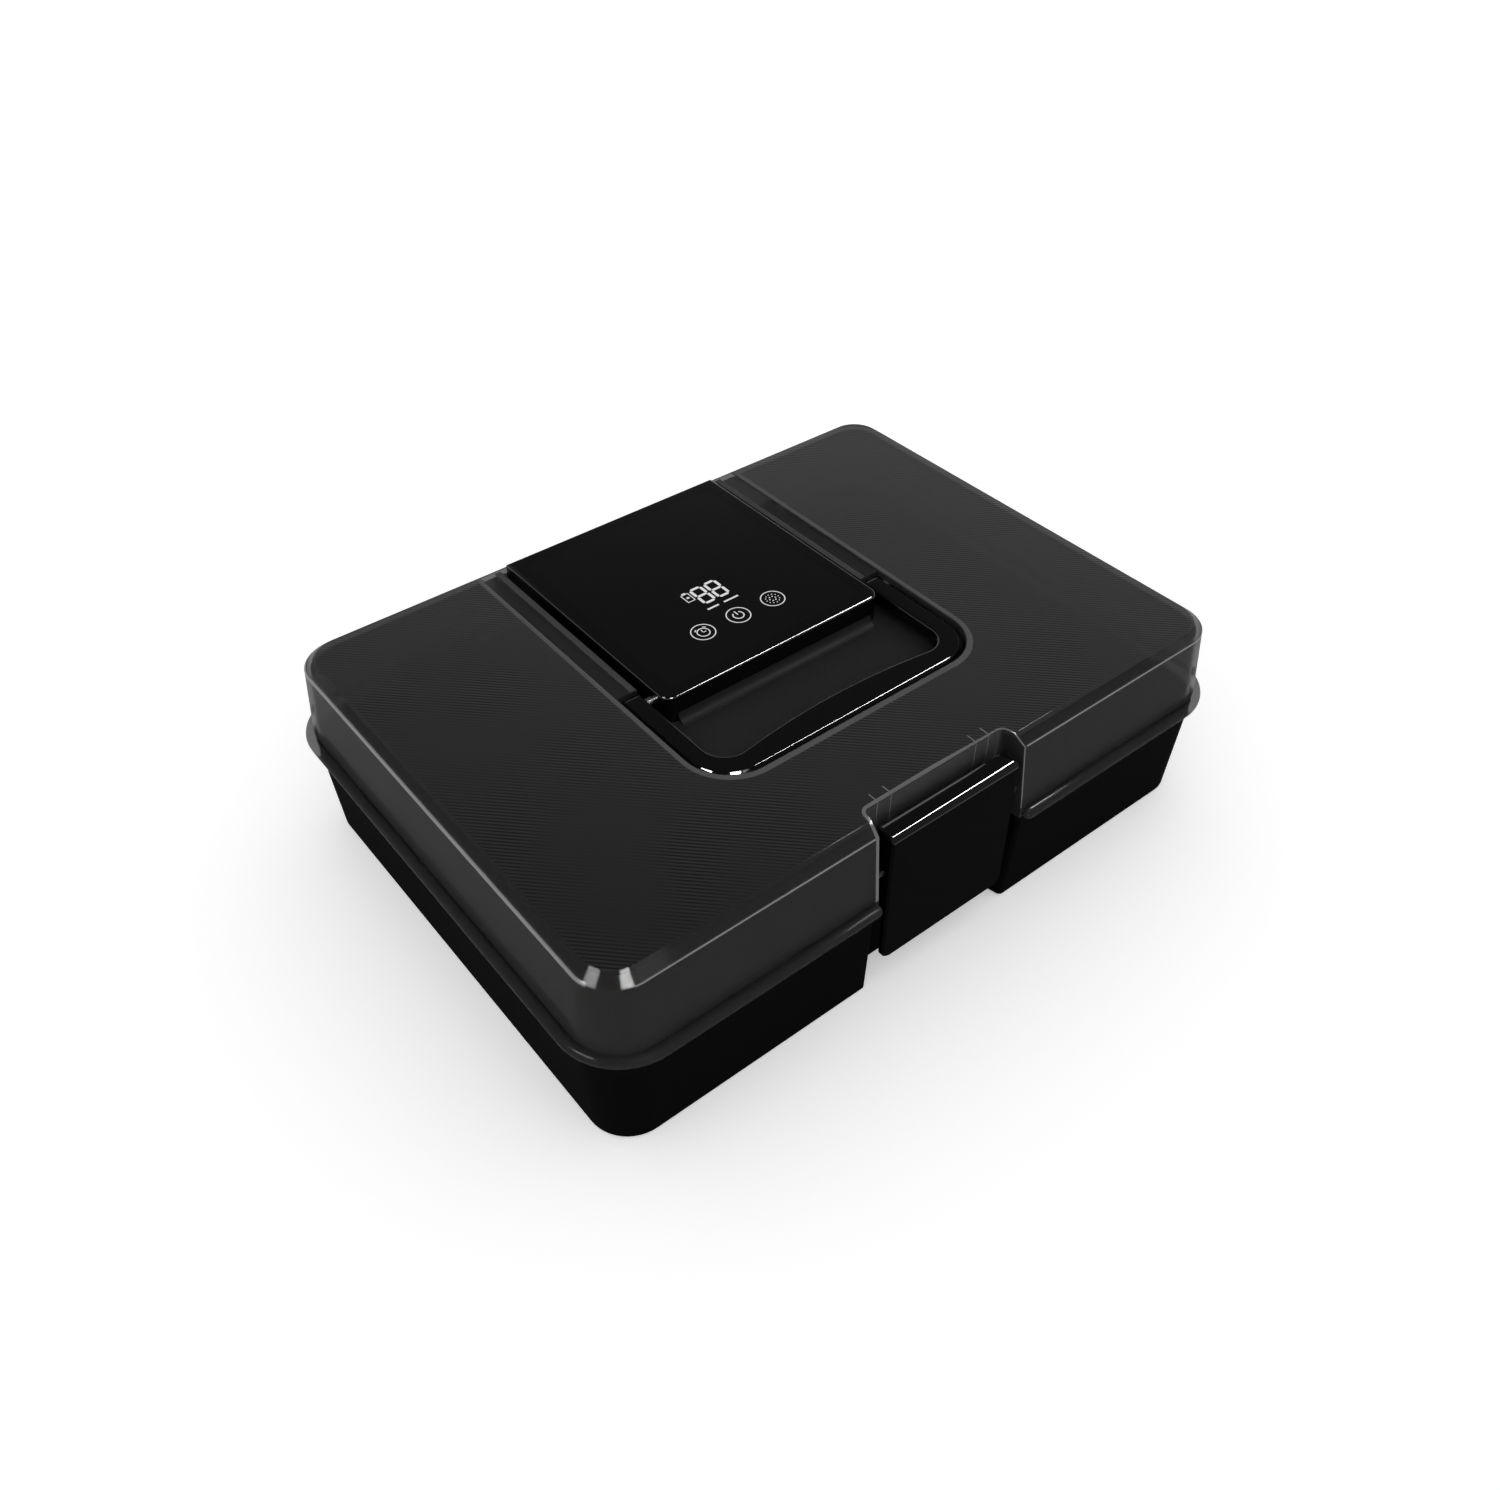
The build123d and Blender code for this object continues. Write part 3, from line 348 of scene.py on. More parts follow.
# Pins and inlet: hinge and handle turn on bright drawn steel pins, cut square; the inlet is steel too.
# The latch's pin is oil-blackened, a dull dark grey. Drawing leaves fine lines along X.
DRAWN_LINES = (60, 6000, 6000)
DRAWN_ROUGH = (0.2, 0.36)

drawn_steel, tree, shader, place = new_finish("drawn_steel", Base_Color=linear("#C4C4C6"), Metallic=1.0)
lines = add(tree, "ShaderNodeMapping", {"Vector": place, "Scale": DRAWN_LINES})
streak = add(tree, "ShaderNodeTexNoise", {"Vector": lines.outputs[0], "Scale": 1.0, "Detail": 2.0})
spread = add(tree, "ShaderNodeMapRange", {"Value": streak.outputs[0], "To Min": DRAWN_ROUGH[0],
                                          "To Max": DRAWN_ROUGH[1]})
tree.links.new(spread.outputs[0], shader.inputs["Roughness"])
dress(drawn_steel, "hinge_pins", "handle_pins", "usb_socket")
black_steel = skinned("oil_blackened_steel", "#38383A", grain_mm=0.6, height_mm=0.003, rough=(0.3, 0.45),
                      patch_mm=4.0, Metallic=1.0)
dress(black_steel, "latch_pin")


# Lid: smoked polycarbonate, 2.4 mm thick, injection moulded and glossy outside.
# Cutter lines left by the mould run at 45 degrees under its top, where they scatter the light.
# The wall is too thin to bend what is seen through it, so its IOR is near 1 and a coat gives the gloss.
HATCH_MM = 1.52
HATCH_PATCH_MM = 45.0
HATCH_SWING = 1.1
HATCH_WAVER = {"Distortion": 0.4, "Detail": 1.0, "Detail Scale": 0.15}
HATCH_FADE = (0.38, 0.60)
HATCH_LEAST = 0.12
CLEAR_WALL = 0.88
CLEAR_TOP = 0.30
CLEAR_NOTCH = 0.64
WALL_SMOKE = "#707070"
# the top's colour runs between the next two: a painted reflection, lighter towards the rear right
SMOKE_PAINTED_DARK = "#303030"
SMOKE_PAINTED_GLEAM = "#505050"
# in metres, as the nodes read them
TOP_Z = 0.0848
FLAT_TOP_Z = 0.08565
RECESS_CORE = (0.0467, 0.0398, 0)
RECESS_EDGE = 0.0221
NOTCH_WALL_Y = -0.0971
NOTCH_WALL_REACH = 0.0016
NOTCH_WALL_HALF = 0.0365
# way and reach of the painted reflection across the top
GLEAM_WAY = (0.72, 0.69, 0)
GLEAM_REACH = 0.15

smoked, tree, shader, place = new_finish("smoked_polycarbonate", Roughness=0.3, IOR=1.03, Coat_Weight=0.075,
                                         Coat_Roughness=0.04)
# the top is what lies high and outside the rounded recess of handle and housing
split = add(tree, "ShaderNodeSeparateXYZ", {0: place})
high = add(tree, "ShaderNodeMath", {0: split.outputs["Z"], 1: TOP_Z}, operation="GREATER_THAN")
across = add(tree, "ShaderNodeMath", {0: split.outputs["X"]}, operation="ABSOLUTE")
forward = add(tree, "ShaderNodeMath", {0: split.outputs["Y"], 1: -1.0}, operation="MULTIPLY")
spot = add(tree, "ShaderNodeCombineXYZ", {0: across.outputs[0], 1: forward.outputs[0]})
past = add(tree, "ShaderNodeVectorMath", {0: spot.outputs[0], 1: RECESS_CORE}, operation="SUBTRACT")
beyond = add(tree, "ShaderNodeVectorMath", {0: past.outputs[0], 1: (0, 0, 0)}, operation="MAXIMUM")
reach = add(tree, "ShaderNodeVectorMath", {0: beyond.outputs[0]}, operation="LENGTH")
outside = add(tree, "ShaderNodeMath", {0: reach.outputs["Value"], 1: RECESS_EDGE}, operation="GREATER_THAN")
on_top = add(tree, "ShaderNodeMath", {0: high.outputs[0], 1: outside.outputs[0]}, operation="MULTIPLY")
clear = add(tree, "ShaderNodeMix", {0: on_top.outputs[0], 2: CLEAR_WALL, 3: CLEAR_TOP})
# the notch's wall is frosted on its inside: it lies near one Y, in the notch's width and below the top
in_wall = add(tree, "ShaderNodeMath",
              {0: split.outputs["Y"], 1: NOTCH_WALL_Y, 2: NOTCH_WALL_REACH}, operation="COMPARE")
in_width = add(tree, "ShaderNodeMath", {0: across.outputs[0], 1: NOTCH_WALL_HALF}, operation="LESS_THAN")
below = add(tree, "ShaderNodeMath", {0: in_width.outputs[0], 1: high.outputs[0]}, operation="GREATER_THAN")
frosted = add(tree, "ShaderNodeMath", {0: in_wall.outputs[0], 1: below.outputs[0]}, operation="MULTIPLY")
cloudy = add(tree, "ShaderNodeMix", {0: frosted.outputs[0], 2: clear.outputs[0], 3: CLEAR_NOTCH})
tree.links.new(cloudy.outputs[0], shader.inputs["Transmission Weight"])
# painted reflection: the top's smoke is painted darker at the front left and lighter towards the rear right
along = add(tree, "ShaderNodeVectorMath", {0: place, 1: GLEAM_WAY}, operation="DOT_PRODUCT")
painted_gleam = add(tree, "ShaderNodeMapRange", {"Value": along.outputs["Value"], "From Min": -GLEAM_REACH,
                                         "From Max": GLEAM_REACH})
smoke = add(tree, "ShaderNodeMix", {0: painted_gleam.outputs[0], 6: linear(SMOKE_PAINTED_DARK), 7: linear(SMOKE_PAINTED_GLEAM)},
            data_type="RGBA")
# the cutter lines are a wave about the smoke's colour, stronger in some patches, on the flat top only
turned = add(tree, "ShaderNodeMapping", {"Vector": place, "Rotation": (0, 0, math.radians(-45))})
hatch = add(tree, "ShaderNodeTexWave",
            {"Vector": turned.outputs[0], "Scale": 1000 / HATCH_MM * math.pi / 10, **HATCH_WAVER},
            wave_type="BANDS", bands_direction="X", wave_profile="SIN")
fade = add(tree, "ShaderNodeTexNoise", {"Vector": place, "Scale": 1000 / HATCH_PATCH_MM, "Detail": 1.5})
amount = add(tree, "ShaderNodeMapRange", {"Value": fade.outputs[0], "From Min": HATCH_FADE[0],
                                          "From Max": HATCH_FADE[1], "To Min": HATCH_LEAST, "To Max": 1.0})
flat = add(tree, "ShaderNodeMath", {0: split.outputs["Z"], 1: FLAT_TOP_Z}, operation="GREATER_THAN")
here = add(tree, "ShaderNodeMath", {0: flat.outputs[0], 1: amount.outputs[0]}, operation="MULTIPLY")
swing = add(tree, "ShaderNodeMath", {0: hatch.outputs["Fac"], 1: 0.5}, operation="SUBTRACT")
mark = add(tree, "ShaderNodeMath", {0: swing.outputs[0], 1: here.outputs[0]}, operation="MULTIPLY")
shade = add(tree, "ShaderNodeMath", {0: mark.outputs[0], 1: HATCH_SWING, 2: 1.0}, operation="MULTIPLY_ADD")
lined = add(tree, "ShaderNodeVectorMath", {0: smoke.outputs[2], "Scale": shade.outputs[0]},
            operation="SCALE")
tint = add(tree, "ShaderNodeMix", {0: on_top.outputs[0], 6: linear(WALL_SMOKE), 7: lined.outputs[0]},
           data_type="RGBA")
tree.links.new(tint.outputs[2], shader.inputs["Base Color"])
fit(finished("lid_shell"), smoked, "lid", "smoked_polycarbonate", "lid_shell")


# Lid edges: where the smoked wall is seen end on it catches light and looks paler; this light is painted on.
# Painted highlight bands round the shoulder, the well and the ledges, a hair proud of the wall they lie in.
LID_CORE = (133.6, 92.2)
LID_CORNER = 16.4
NOTCH_HALF = 37.4
# offset from the lid's outline and height of the points of the shoulder's bands
BROAD_SHOULDER = ((0.11, 81.25), (0.09, 81.60), (0.01, 81.88), (-0.17, 82.09), (-0.62, 82.44), (-1.2, 82.2),
                  (-0.6, 81.25))
FINE_SHOULDER = ((0.08, 81.58), (0.06, 81.76), (0.01, 81.88), (-0.17, 82.09), (-0.5, 82.0), (-0.5, 81.6))
LEFT_START = 135
LEFT_END = 202
LEFT_END_STEPS = 9
FRONT_START = 256
FRONT_STEPS = 7
WELL_CORE = (46.7, -39.8)
WELL_CORNER = 20.0
WELL_BAND = 2.3
WELL_INNER_EASE = 0.3
WELL_OUTER_EASE = (0.25, 0.1)
FRONT_EXTRA = 0.3
LID_TOP_Z = 85.8
BAND_PROUD = 0.04
BAND_OVERLAP = 0.02
BAND_DEPTH = 0.5
BAND_REAR_Y = 103.2
BAND_SHARP = 50
LEDGE_Z = 84.9
LEDGE_BAND_X = (57.05, 59.8)
LEDGE_FRONT_Y = 4.0
LEDGE_EASE = 0.2
CORNER_STEPS = 17


def corner_arcs(core, reach, quarters):
    """Points of quarter arcs: each corner's centre plus the reach along angles a quarter turn apart."""
    turn = np.linspace(0, math.pi / 2, CORNER_STEPS)
    angle = np.concatenate([start + turn for _, _, start in quarters])
    centre = np.repeat([(x * core[0], y) for x, y, _ in quarters], CORNER_STEPS, 0)
    return centre + reach * np.stack([np.cos(angle), np.sin(angle)], -1)


def band(name, section, path_of):
    """Closed section, as (offset, z) pairs, carried along the path that belongs to each offset."""
    rings = [np.column_stack([path_of(offset), np.full(len(path_of(offset)), z)]) for offset, z in section]
    return close_form(grid_mesh(name, np.stack(rings), wrap_u=True), BAND_SHARP)


def left_shoulder(offset):
    """Lid outline with the offset added, from the rear left corner's middle into the front one."""
    x, y = LID_CORE
    reach = LID_CORNER + offset
    turn = np.radians(np.concatenate([np.linspace(LEFT_START, 180, CORNER_STEPS),
                                      np.linspace(180, LEFT_END, LEFT_END_STEPS)]))
    ends = np.repeat([y, -y], [CORNER_STEPS, LEFT_END_STEPS])
    return np.stack([-x + reach * np.cos(turn), ends + reach * np.sin(turn)], -1)


def front_left_shoulder(offset):
    """Lid outline with the offset added, from the end of the front left corner's turn to the notch."""
    x, y = LID_CORE
    reach = LID_CORNER + offset
    turn = np.radians(np.linspace(FRONT_START, 270, FRONT_STEPS))
    arc = np.stack([-x + reach * np.cos(turn), -y + reach * np.sin(turn)], -1)
    return np.vstack([arc, [(-NOTCH_HALF, -y - reach)]])


def right_shoulder(offset):
    """Lid outline with the offset added, from the notch round the right side to the rear."""
    x, y = LID_CORE
    reach = LID_CORNER + offset
    arcs = corner_arcs((x, y), reach, [(1, -y, -math.pi / 2), (1, y, 0)])
    return np.vstack([[(NOTCH_HALF, -y - reach)], arcs, [(-x, y + reach)]])


def well_path(offset):
    """U round the well with the offset added, a little more at the front, from rear left to rear right."""
    x, y = WELL_CORE
    y -= FRONT_EXTRA * max(offset, 0)
    reach = WELL_CORNER + offset
    arcs = corner_arcs((x, y), reach, [(-1, y, math.pi), (1, y, -math.pi / 2)])
    return np.vstack([[(-x - reach, BAND_REAR_Y)], arcs, [(x + reach, BAND_REAR_Y)]])


def painted_highlight_band(name, code):
    """Painted highlight band: cloudy grey, a little uneven in colour and gloss."""
    material, tree, shader, place = new_finish(name, IOR=1.45, Specular_IOR_Level=0.3)
    cloud = skin(tree, shader, place, grain_mm=2.0, height_mm=0.004, rough=(0.12, 0.22), patch_mm=18.0)
    deep = tuple(0.75 * c for c in linear(code)[:3]) + (1.0,)
    tint = add(tree, "ShaderNodeMix", {0: cloud, 6: deep, 7: linear(code)}, data_type="RGBA")
    tree.links.new(tint.outputs[2], shader.inputs["Base Color"])
    return material


# painted highlights: each band's pale grey stands in for light along an edge
shoulder_highlight = painted_highlight_band("painted_highlight_shoulder", "#8C8C8C")
well_highlight = painted_highlight_band("painted_highlight_well", "#5A5A5A")
ledge_highlight = painted_highlight_band("painted_highlight_ledge", "#474747")
for name, section, path in (("left_shoulder_highlight", BROAD_SHOULDER, left_shoulder),
                            ("front_shoulder_highlight", FINE_SHOULDER, front_left_shoulder),
                            ("right_shoulder_highlight", FINE_SHOULDER, right_shoulder)):
    fit(band(name, section, path), shoulder_highlight, "lid", "smoked_polycarbonate")
top = LID_TOP_Z + BAND_PROUD
foot = LID_TOP_Z - BAND_DEPTH
well_section = ((0.0, foot), (-BAND_OVERLAP, top - WELL_INNER_EASE), (WELL_INNER_EASE, top),
                (WELL_BAND - WELL_OUTER_EASE[0], top), (WELL_BAND, top - WELL_OUTER_EASE[1]),
                (WELL_BAND, foot))
fit(band("well_highlight", well_section, well_path), well_highlight, "lid", "smoked_polycarbonate")
near_x, far_x = LEDGE_BAND_X
top = LEDGE_Z + BAND_PROUD
foot = top - BAND_DEPTH
ledge_section = ((near_x, foot), (near_x, top - LEDGE_EASE), (near_x + LEDGE_EASE, top), (far_x, top),
                 (far_x, foot))
for name, flip in (("left_ledge_highlight", -1), ("right_ledge_highlight", 1)):
    fit(band(name, ledge_section, lambda x: np.array([(flip * x, LEDGE_FRONT_Y), (flip * x, BAND_REAR_Y)])),
        ledge_highlight, "lid", "smoked_polycarbonate")


# Notch edge: where the notch cuts the lid, its wall is seen end on; a painted highlight, a paler band,
# follows the cut.
# The four webs behind the notch's wall show through it, and through the top; their lit edges are painted on
# as fine pale lines.
NOTCH_BACK_Y = -98.3
NOTCH_FRONT_HALF = 36.0
NOTCH_SLOPE = 0.1553
NOTCH_ARC_X = -31.83
NOTCH_ARC_Y = -101.3
NOTCH_ARC_R = 3.0
NOTCH_ARC_START = 171.2
NOTCH_ARC_STEPS = 9
# y and z of the skirt's foot, the shoulder and the top's edge, and the way out of the surface at each
LID_FRONT = ((-111.4, 52.4), (-108.6, 81.9), (-103.6, 85.8))
LID_FRONT_TILT = ((-0.996, 0.094), (-0.85, 0.53), (-0.33, 0.94))
# the band's width at three places along X, and its section from the cut's edge and from its own far edge
NOTCH_BAND_X = (-30.0, 0.0, 32.0)
NOTCH_BAND = (1.3, 1.5, 0.55)
BAND_NEAR = (-0.03, 0.0, 0.12)
BAND_FAR = (-0.15, 0.0, 0.0)
BAND_LIFT = (-0.5, 0.02, BAND_PROUD, BAND_PROUD, 0.0, -0.4)
WEB_X = (-27.5, -21.0, 21.0, 27.5)
WEB_PATH = ((-98.3, 58.0), (-98.3, 85.8), (-93.6, 85.8))
WEB_TILT = ((-1.0, 0.0), (-0.707, 0.707), (0.0, 1.0))
WEB_SECTION = ((-0.22, -0.3), (-0.22, 0.05), (0.22, 0.05), (0.22, -0.3))


def carried(name, points, across, lift, section):
    """Closed section carried along points: each corner is point + a across + b lift, for its (a, b)."""
    a, b = np.moveaxis(section, -1, 0)
    rings = points[:, None, :] + a[..., None] * across[:, None, :] + b[..., None] * lift[:, None, :]
    return close_form(grid_mesh(name, rings, wrap_v=True), BAND_SHARP)


# left half of the cut: up the skirt and the chamfer, round the corner and along the back to the middle
front_y, front_z = np.array(LID_FRONT).T
side_x = -NOTCH_FRONT_HALF + NOTCH_SLOPE * (front_y - LID_FRONT[1][0])
arc = np.radians(np.linspace(NOTCH_ARC_START, 90, NOTCH_ARC_STEPS))
ray = np.column_stack([np.cos(arc), np.sin(arc), np.zeros(NOTCH_ARC_STEPS)])
cut = np.vstack([np.column_stack([side_x, front_y, front_z]),
                 NOTCH_ARC_R * ray + (NOTCH_ARC_X, NOTCH_ARC_Y, LID_TOP_Z),
                 [(0, NOTCH_BACK_Y, LID_TOP_Z)]])
away = np.vstack([[(-1, 0, 0)] * len(LID_FRONT), ray, [(0, 1, 0)]])
lift = np.vstack([[(0, y, z) for y, z in LID_FRONT_TILT], [(0, 0, 1)] * (NOTCH_ARC_STEPS + 1)])
mirror_x = np.array([-1, 1, 1])
cut = np.vstack([cut, cut[-2::-1] * mirror_x])
away = np.vstack([away, away[-2::-1] * mirror_x])
lift = np.vstack([lift, lift[-2::-1]])
wide = np.interp(cut[:, 0], NOTCH_BAND_X, NOTCH_BAND)[:, None]
rim = np.stack([np.hstack([np.tile(BAND_NEAR, (len(cut), 1)), wide + BAND_FAR]),
                np.tile(BAND_LIFT, (len(cut), 1))], -1)
# painted highlight: the pale band along the cut
notch_highlight = painted_highlight_band("painted_highlight_notch", "#707070")
fit(carried("notch_highlight", cut, away, lift, rim), notch_highlight, "lid", "smoked_polycarbonate")
# painted highlights: fine pale lines where the webs show through
web_highlight = painted_highlight_band("painted_highlight_web", "#7C7C7C")
web_across = np.array([(1.0, 0, 0)] * len(WEB_PATH))
web_lift = np.array([(0, y, z) for y, z in WEB_TILT])
web_section = np.tile(WEB_SECTION, (len(WEB_PATH), 1, 1))
for number, x in enumerate(WEB_X):
    web = np.array([(x, y, z) for y, z in WEB_PATH])
    piece = carried(f"web_highlight_line_{number + 1}", web, web_across, web_lift, web_section)
    fit(piece, web_highlight, "lid", "smoked_polycarbonate")


# Cove: the well's floor runs up to the control housing in a small hollow curve.
# It is part of the lid's moulding, left matt by the mould, so it mirrors nothing.
COVE_R = 4.0
COVE_HALF = 49.0
COVE_SINK = 0.3
COVE_REAR_Y = -11.38
WELL_FLOOR_Z = 75.3
COVE_STEPS = 13

turn = np.linspace(0, math.pi / 2, COVE_STEPS)
hollow = np.stack([COVE_REAR_Y - COVE_R + COVE_R * np.sin(turn),
                   WELL_FLOOR_Z + COVE_R - COVE_R * np.cos(turn)], -1)
section = np.vstack([hollow, [(COVE_REAR_Y, WELL_FLOOR_Z - COVE_SINK),
                              (COVE_REAR_Y - COVE_R, WELL_FLOOR_Z - COVE_SINK)]])
sides = np.array([-COVE_HALF, COVE_HALF])
cove = np.stack([np.broadcast_to(sides, (len(section), 2)), np.repeat(section[:, :1], 2, 1),
                 np.repeat(section[:, 1:], 2, 1)], -1)
cove_grey = skinned("moulded_well_cove", "#262626", grain_mm=2.0, height_mm=0.004, rough=(0.4, 0.5),
                    patch_mm=18.0, Specular_IOR_Level=0.02)
cove_piece = close_form(grid_mesh("well_cove", cove, wrap_u=True), BAND_SHARP)
fit(cove_piece, cove_grey, "lid", "smoked_polycarbonate")


# Lamp unit under the well: a satin cover screwed up into the housing, with its lamps, boards,
# battery and inlet inside. Boards are glass epoxy, and their tracks show through the solder mask as
# fine lines. Screws are zinc plated, a dull bright grey; the quartz window is all but invisible.

# each mask: roughness, tracks per metre, two face colours and the tracks' colour, their width, the boards
MASKS = (
    ("green_solder_mask", 0.35, 180.0, ("#0F4A26", "#0B3C1F", "#2E6B3C"), 0.03,
     ("main_board", "charge_board")),
    ("white_solder_mask_on_aluminium", 0.4, 120.0, ("#E6E7E6", "#DEE0DF", "#C3C6C6"), 0.04, ("uv_board",)),
)
# each hidden finish: colour, metallic, roughness range, and the nodes that have it
HIDDEN = (
    ("moulded_epoxy", "#141414", 0.0, (0.45, 0.6),
     ("controller_chip", "board_parts", "buzzer", "tilt_switch", "ion_unit")),
    ("carbon_fibre_brush", "#232323", 0.0, (0.5, 0.7), ("ion_brush",)),
    ("conductive_foam", "#2B2B2B", 0.0, (0.8, 0.95), ("touch_pads", "panel_tape")),
    ("display_epoxy", "#0E0E0F", 0.0, (0.3, 0.4), ("display_block",)),
    ("lit_segment_diffuser", "#F2F2F2", 0.0, (0.4, 0.5), ("display_digits",)),
    ("zinc_plated_steel", "#C9CBCB", 1.0, (0.25, 0.4),
     ("board_screws", "module_screws", "uv_board_screws", "charge_board_screws")),
    ("blue_battery_film", "#274C80", 0.0, (0.25, 0.35), ("battery_pack",)),
    ("red_silicone_wire", "#7A1613", 0.0, (0.4, 0.55), ("leads",)),
)

dress(satin_abs, "module_cover")
for name, roughness, count, (face, other_face, track), gap, nodes in MASKS:
    material, tree, shader, place = new_finish(name, Roughness=roughness)
    tracks = add(tree, "ShaderNodeTexBrick",
                 {"Vector": place, "Scale": count, "Color1": linear(face), "Color2": linear(other_face),
                  "Mortar": linear(track), "Mortar Size": gap})
    tree.links.new(tracks.outputs["Color"], shader.inputs["Base Color"])
    dress(material, *nodes)
for name, code, metal, rough, nodes in HIDDEN:
    material = skinned(name, code, grain_mm=0.8, height_mm=0.006, rough=rough, patch_mm=6.0, Metallic=metal)
    dress(material, *nodes)
quartz = skinned("clear_quartz", "#F2F5FA", grain_mm=9.0, height_mm=0.001, rough=(0.02, 0.05), patch_mm=20.0,
                 IOR=1.46, Transmission_Weight=1.0)
dress(quartz, "uv_window")
lamp_cap = skinned("violet_lamp_cap", "#C9BDEB", grain_mm=1.0, height_mm=0.002, rough=(0.1, 0.2),
                   patch_mm=4.0)
dress(lamp_cap, "uv_leds")


# Control housing: polished black ABS, screwed down through the well's floor from below.
# The polish leaves a faint slow waviness in what it mirrors.
polished = skinned("polished_black_abs", "#070707", grain_mm=9.0, height_mm=0.0015, rough=(0.04, 0.08),
                   patch_mm=40.0, Specular_IOR_Level=0.45)
fit(finished("module_housing"), polished, "lid", "black_gloss", "module_housing")


# Touch panel: 1.2 mm acrylic, black on its back, let into the housing and taped down, a sharp mirror.
# It lies 0.05 mm below the rim, and its white marks are screen printed: a dull ink film 0.03 mm thick.
PANEL_TOP = 87.6
PANEL_SINK = 0.05
INK = 0.03
INK_BITE = 0.01
KEY_X = (-17.75, 0.0, 17.75)
KEY_Y = 13.8
KEY_RING = (4.75, 5.2)
CLOCK_Y = KEY_Y - 0.2
CLOCK_RING = (2.35, 2.8)
CLOCK_HANDS = (1.8, 1.3)
CLOCK_BELL = (3.15, 3.6)
BELL_ANGLES = ((38, 62), (118, 142))
SIGN_LINE = 0.42
POWER_RING = (2.0, 2.5, -235, 55)
POWER_BAR = (0.4, 3.0)
POWER_LINE = 0.5
# rings of dots in the air sign: distance from its middle, number and size
AIR_DOTS = ((1.4, 6, 0.32), (2.9, 12, 0.26))
ARC_STEPS = 49
DIGIT_LEFT = (-6.2, 1.0)
DIGIT_SIZE = (6.3, 12.0)
DIGIT_Y = 27.7
STROKE = 1.25
SEGMENT_GAP = 0.25
SEGMENT_POINT = 0.55
# x and y of both ends, and width, of the strokes of the battery mark and of the two function bars
CELL = ((-10.6, 33.0, -10.6, 38.4, 0.42), (-7.2, 33.0, -7.2, 38.4, 0.42), (-10.8, 33.0, -7.0, 33.0, 0.42),
        (-10.8, 38.4, -7.0, 38.4, 0.42), (-9.8, 39.0, -8.0, 39.0, 0.7), (-9.5, 35.7, -8.3, 35.7, 1.1))
FUNCTION_BARS = ((-7.4, 24.4, -1.8, 24.4, 0.9), (0.9, 24.4, 8.1, 24.4, 0.9))

panel_face = PANEL_TOP - PANEL_SINK
panel_acrylic = skinned("black_backed_acrylic", "#0A0A0A", grain_mm=14.0, height_mm=0.001,
                        rough=(0.03, 0.05), patch_mm=50.0, Specular_IOR_Level=0.45)
panel = finished("touch_panel")
heights = np.empty(len(panel.data.vertices) * 3, np.float32)
panel.data.vertices.foreach_get("co", heights)
heights = heights.reshape(-1, 3)
heights[:, 2] = np.minimum(heights[:, 2], panel_face / 1000)
panel.data.vertices.foreach_set("co", heights.ravel())
fit(panel, panel_acrylic, "lid", "panel_black", "touch_panel")


def arc_band(x, y, inner, outer, start=0.0, end=360.0):
    """Outline of a ring's part: the outer arc forwards and the inner arc back, angles in degrees."""
    angle = np.radians(np.linspace(start, end, ARC_STEPS))
    ray = np.stack([np.cos(angle), np.sin(angle)], -1)
    return np.array([x, y]) + np.stack([outer * ray, inner * ray])


def stroke(x0, y0, x1, y1, width, point=0.0):
    """Straight stroke between two points, with its ends drawn out to points by the given length."""
    start, end = np.array([x0, y0]), np.array([x1, y1])
    run = (end - start) / np.hypot(*(end - start))
    across = width / 2 * np.array([-run[1], run[0]])
    one_side = [start, start + point * run + across, end - point * run + across, end]
    other_side = [start, start + point * run - across, end - point * run - across, end]
    return np.stack([one_side, other_side])


def printed(name, shapes, material):
    """Ink film: each shape, a band between two lines of points, given its thickness on the panel."""
    vertices, faces = [], []
    for shape in shapes:
        lines = np.stack([np.dstack([shape, np.full(shape.shape[:2], z)])
                          for z in (panel_face - INK_BITE, panel_face + INK)])
        loop = np.stack([lines[0, 0], lines[0, 1], lines[1, 1], lines[1, 0]])
        index = len(vertices) + np.arange(4 * loop.shape[1]).reshape(4, -1)
        vertices += (loop.reshape(-1, 3) / 1000).tolist()
        faces += quads(np.vstack([index, index[:1]]))
    mesh = bpy.data.meshes.new(name)
    mesh.from_pydata(vertices, [], faces)
    fit(close_form(new_piece(name, mesh)), material, "lid", "panel_black")


white_ink = skinned("white_screen_ink", "#F4F4F4", grain_mm=0.6, height_mm=0.002, rough=(0.4, 0.5),
                    patch_mm=5.0)
rings = [arc_band(x, KEY_Y, *KEY_RING) for x in KEY_X]
clock_x, power_x, air_x = KEY_X
clock = [arc_band(clock_x, CLOCK_Y, *CLOCK_RING),
         stroke(clock_x, CLOCK_Y, clock_x, CLOCK_Y + CLOCK_HANDS[0], SIGN_LINE),
         stroke(clock_x, CLOCK_Y, clock_x + CLOCK_HANDS[1], CLOCK_Y, SIGN_LINE)]
clock += [arc_band(clock_x, CLOCK_Y, *CLOCK_BELL, *angles) for angles in BELL_ANGLES]
power = [arc_band(power_x, KEY_Y, *POWER_RING),
         stroke(power_x, KEY_Y + POWER_BAR[0], power_x, KEY_Y + POWER_BAR[1], POWER_LINE)]
air = [arc_band(air_x + far * math.cos(a), KEY_Y + far * math.sin(a), 0, size)
       for far, count, size in AIR_DOTS for a in np.arange(count) * 2 * math.pi / count]
printed("key_marks", rings + clock + power + air, white_ink)

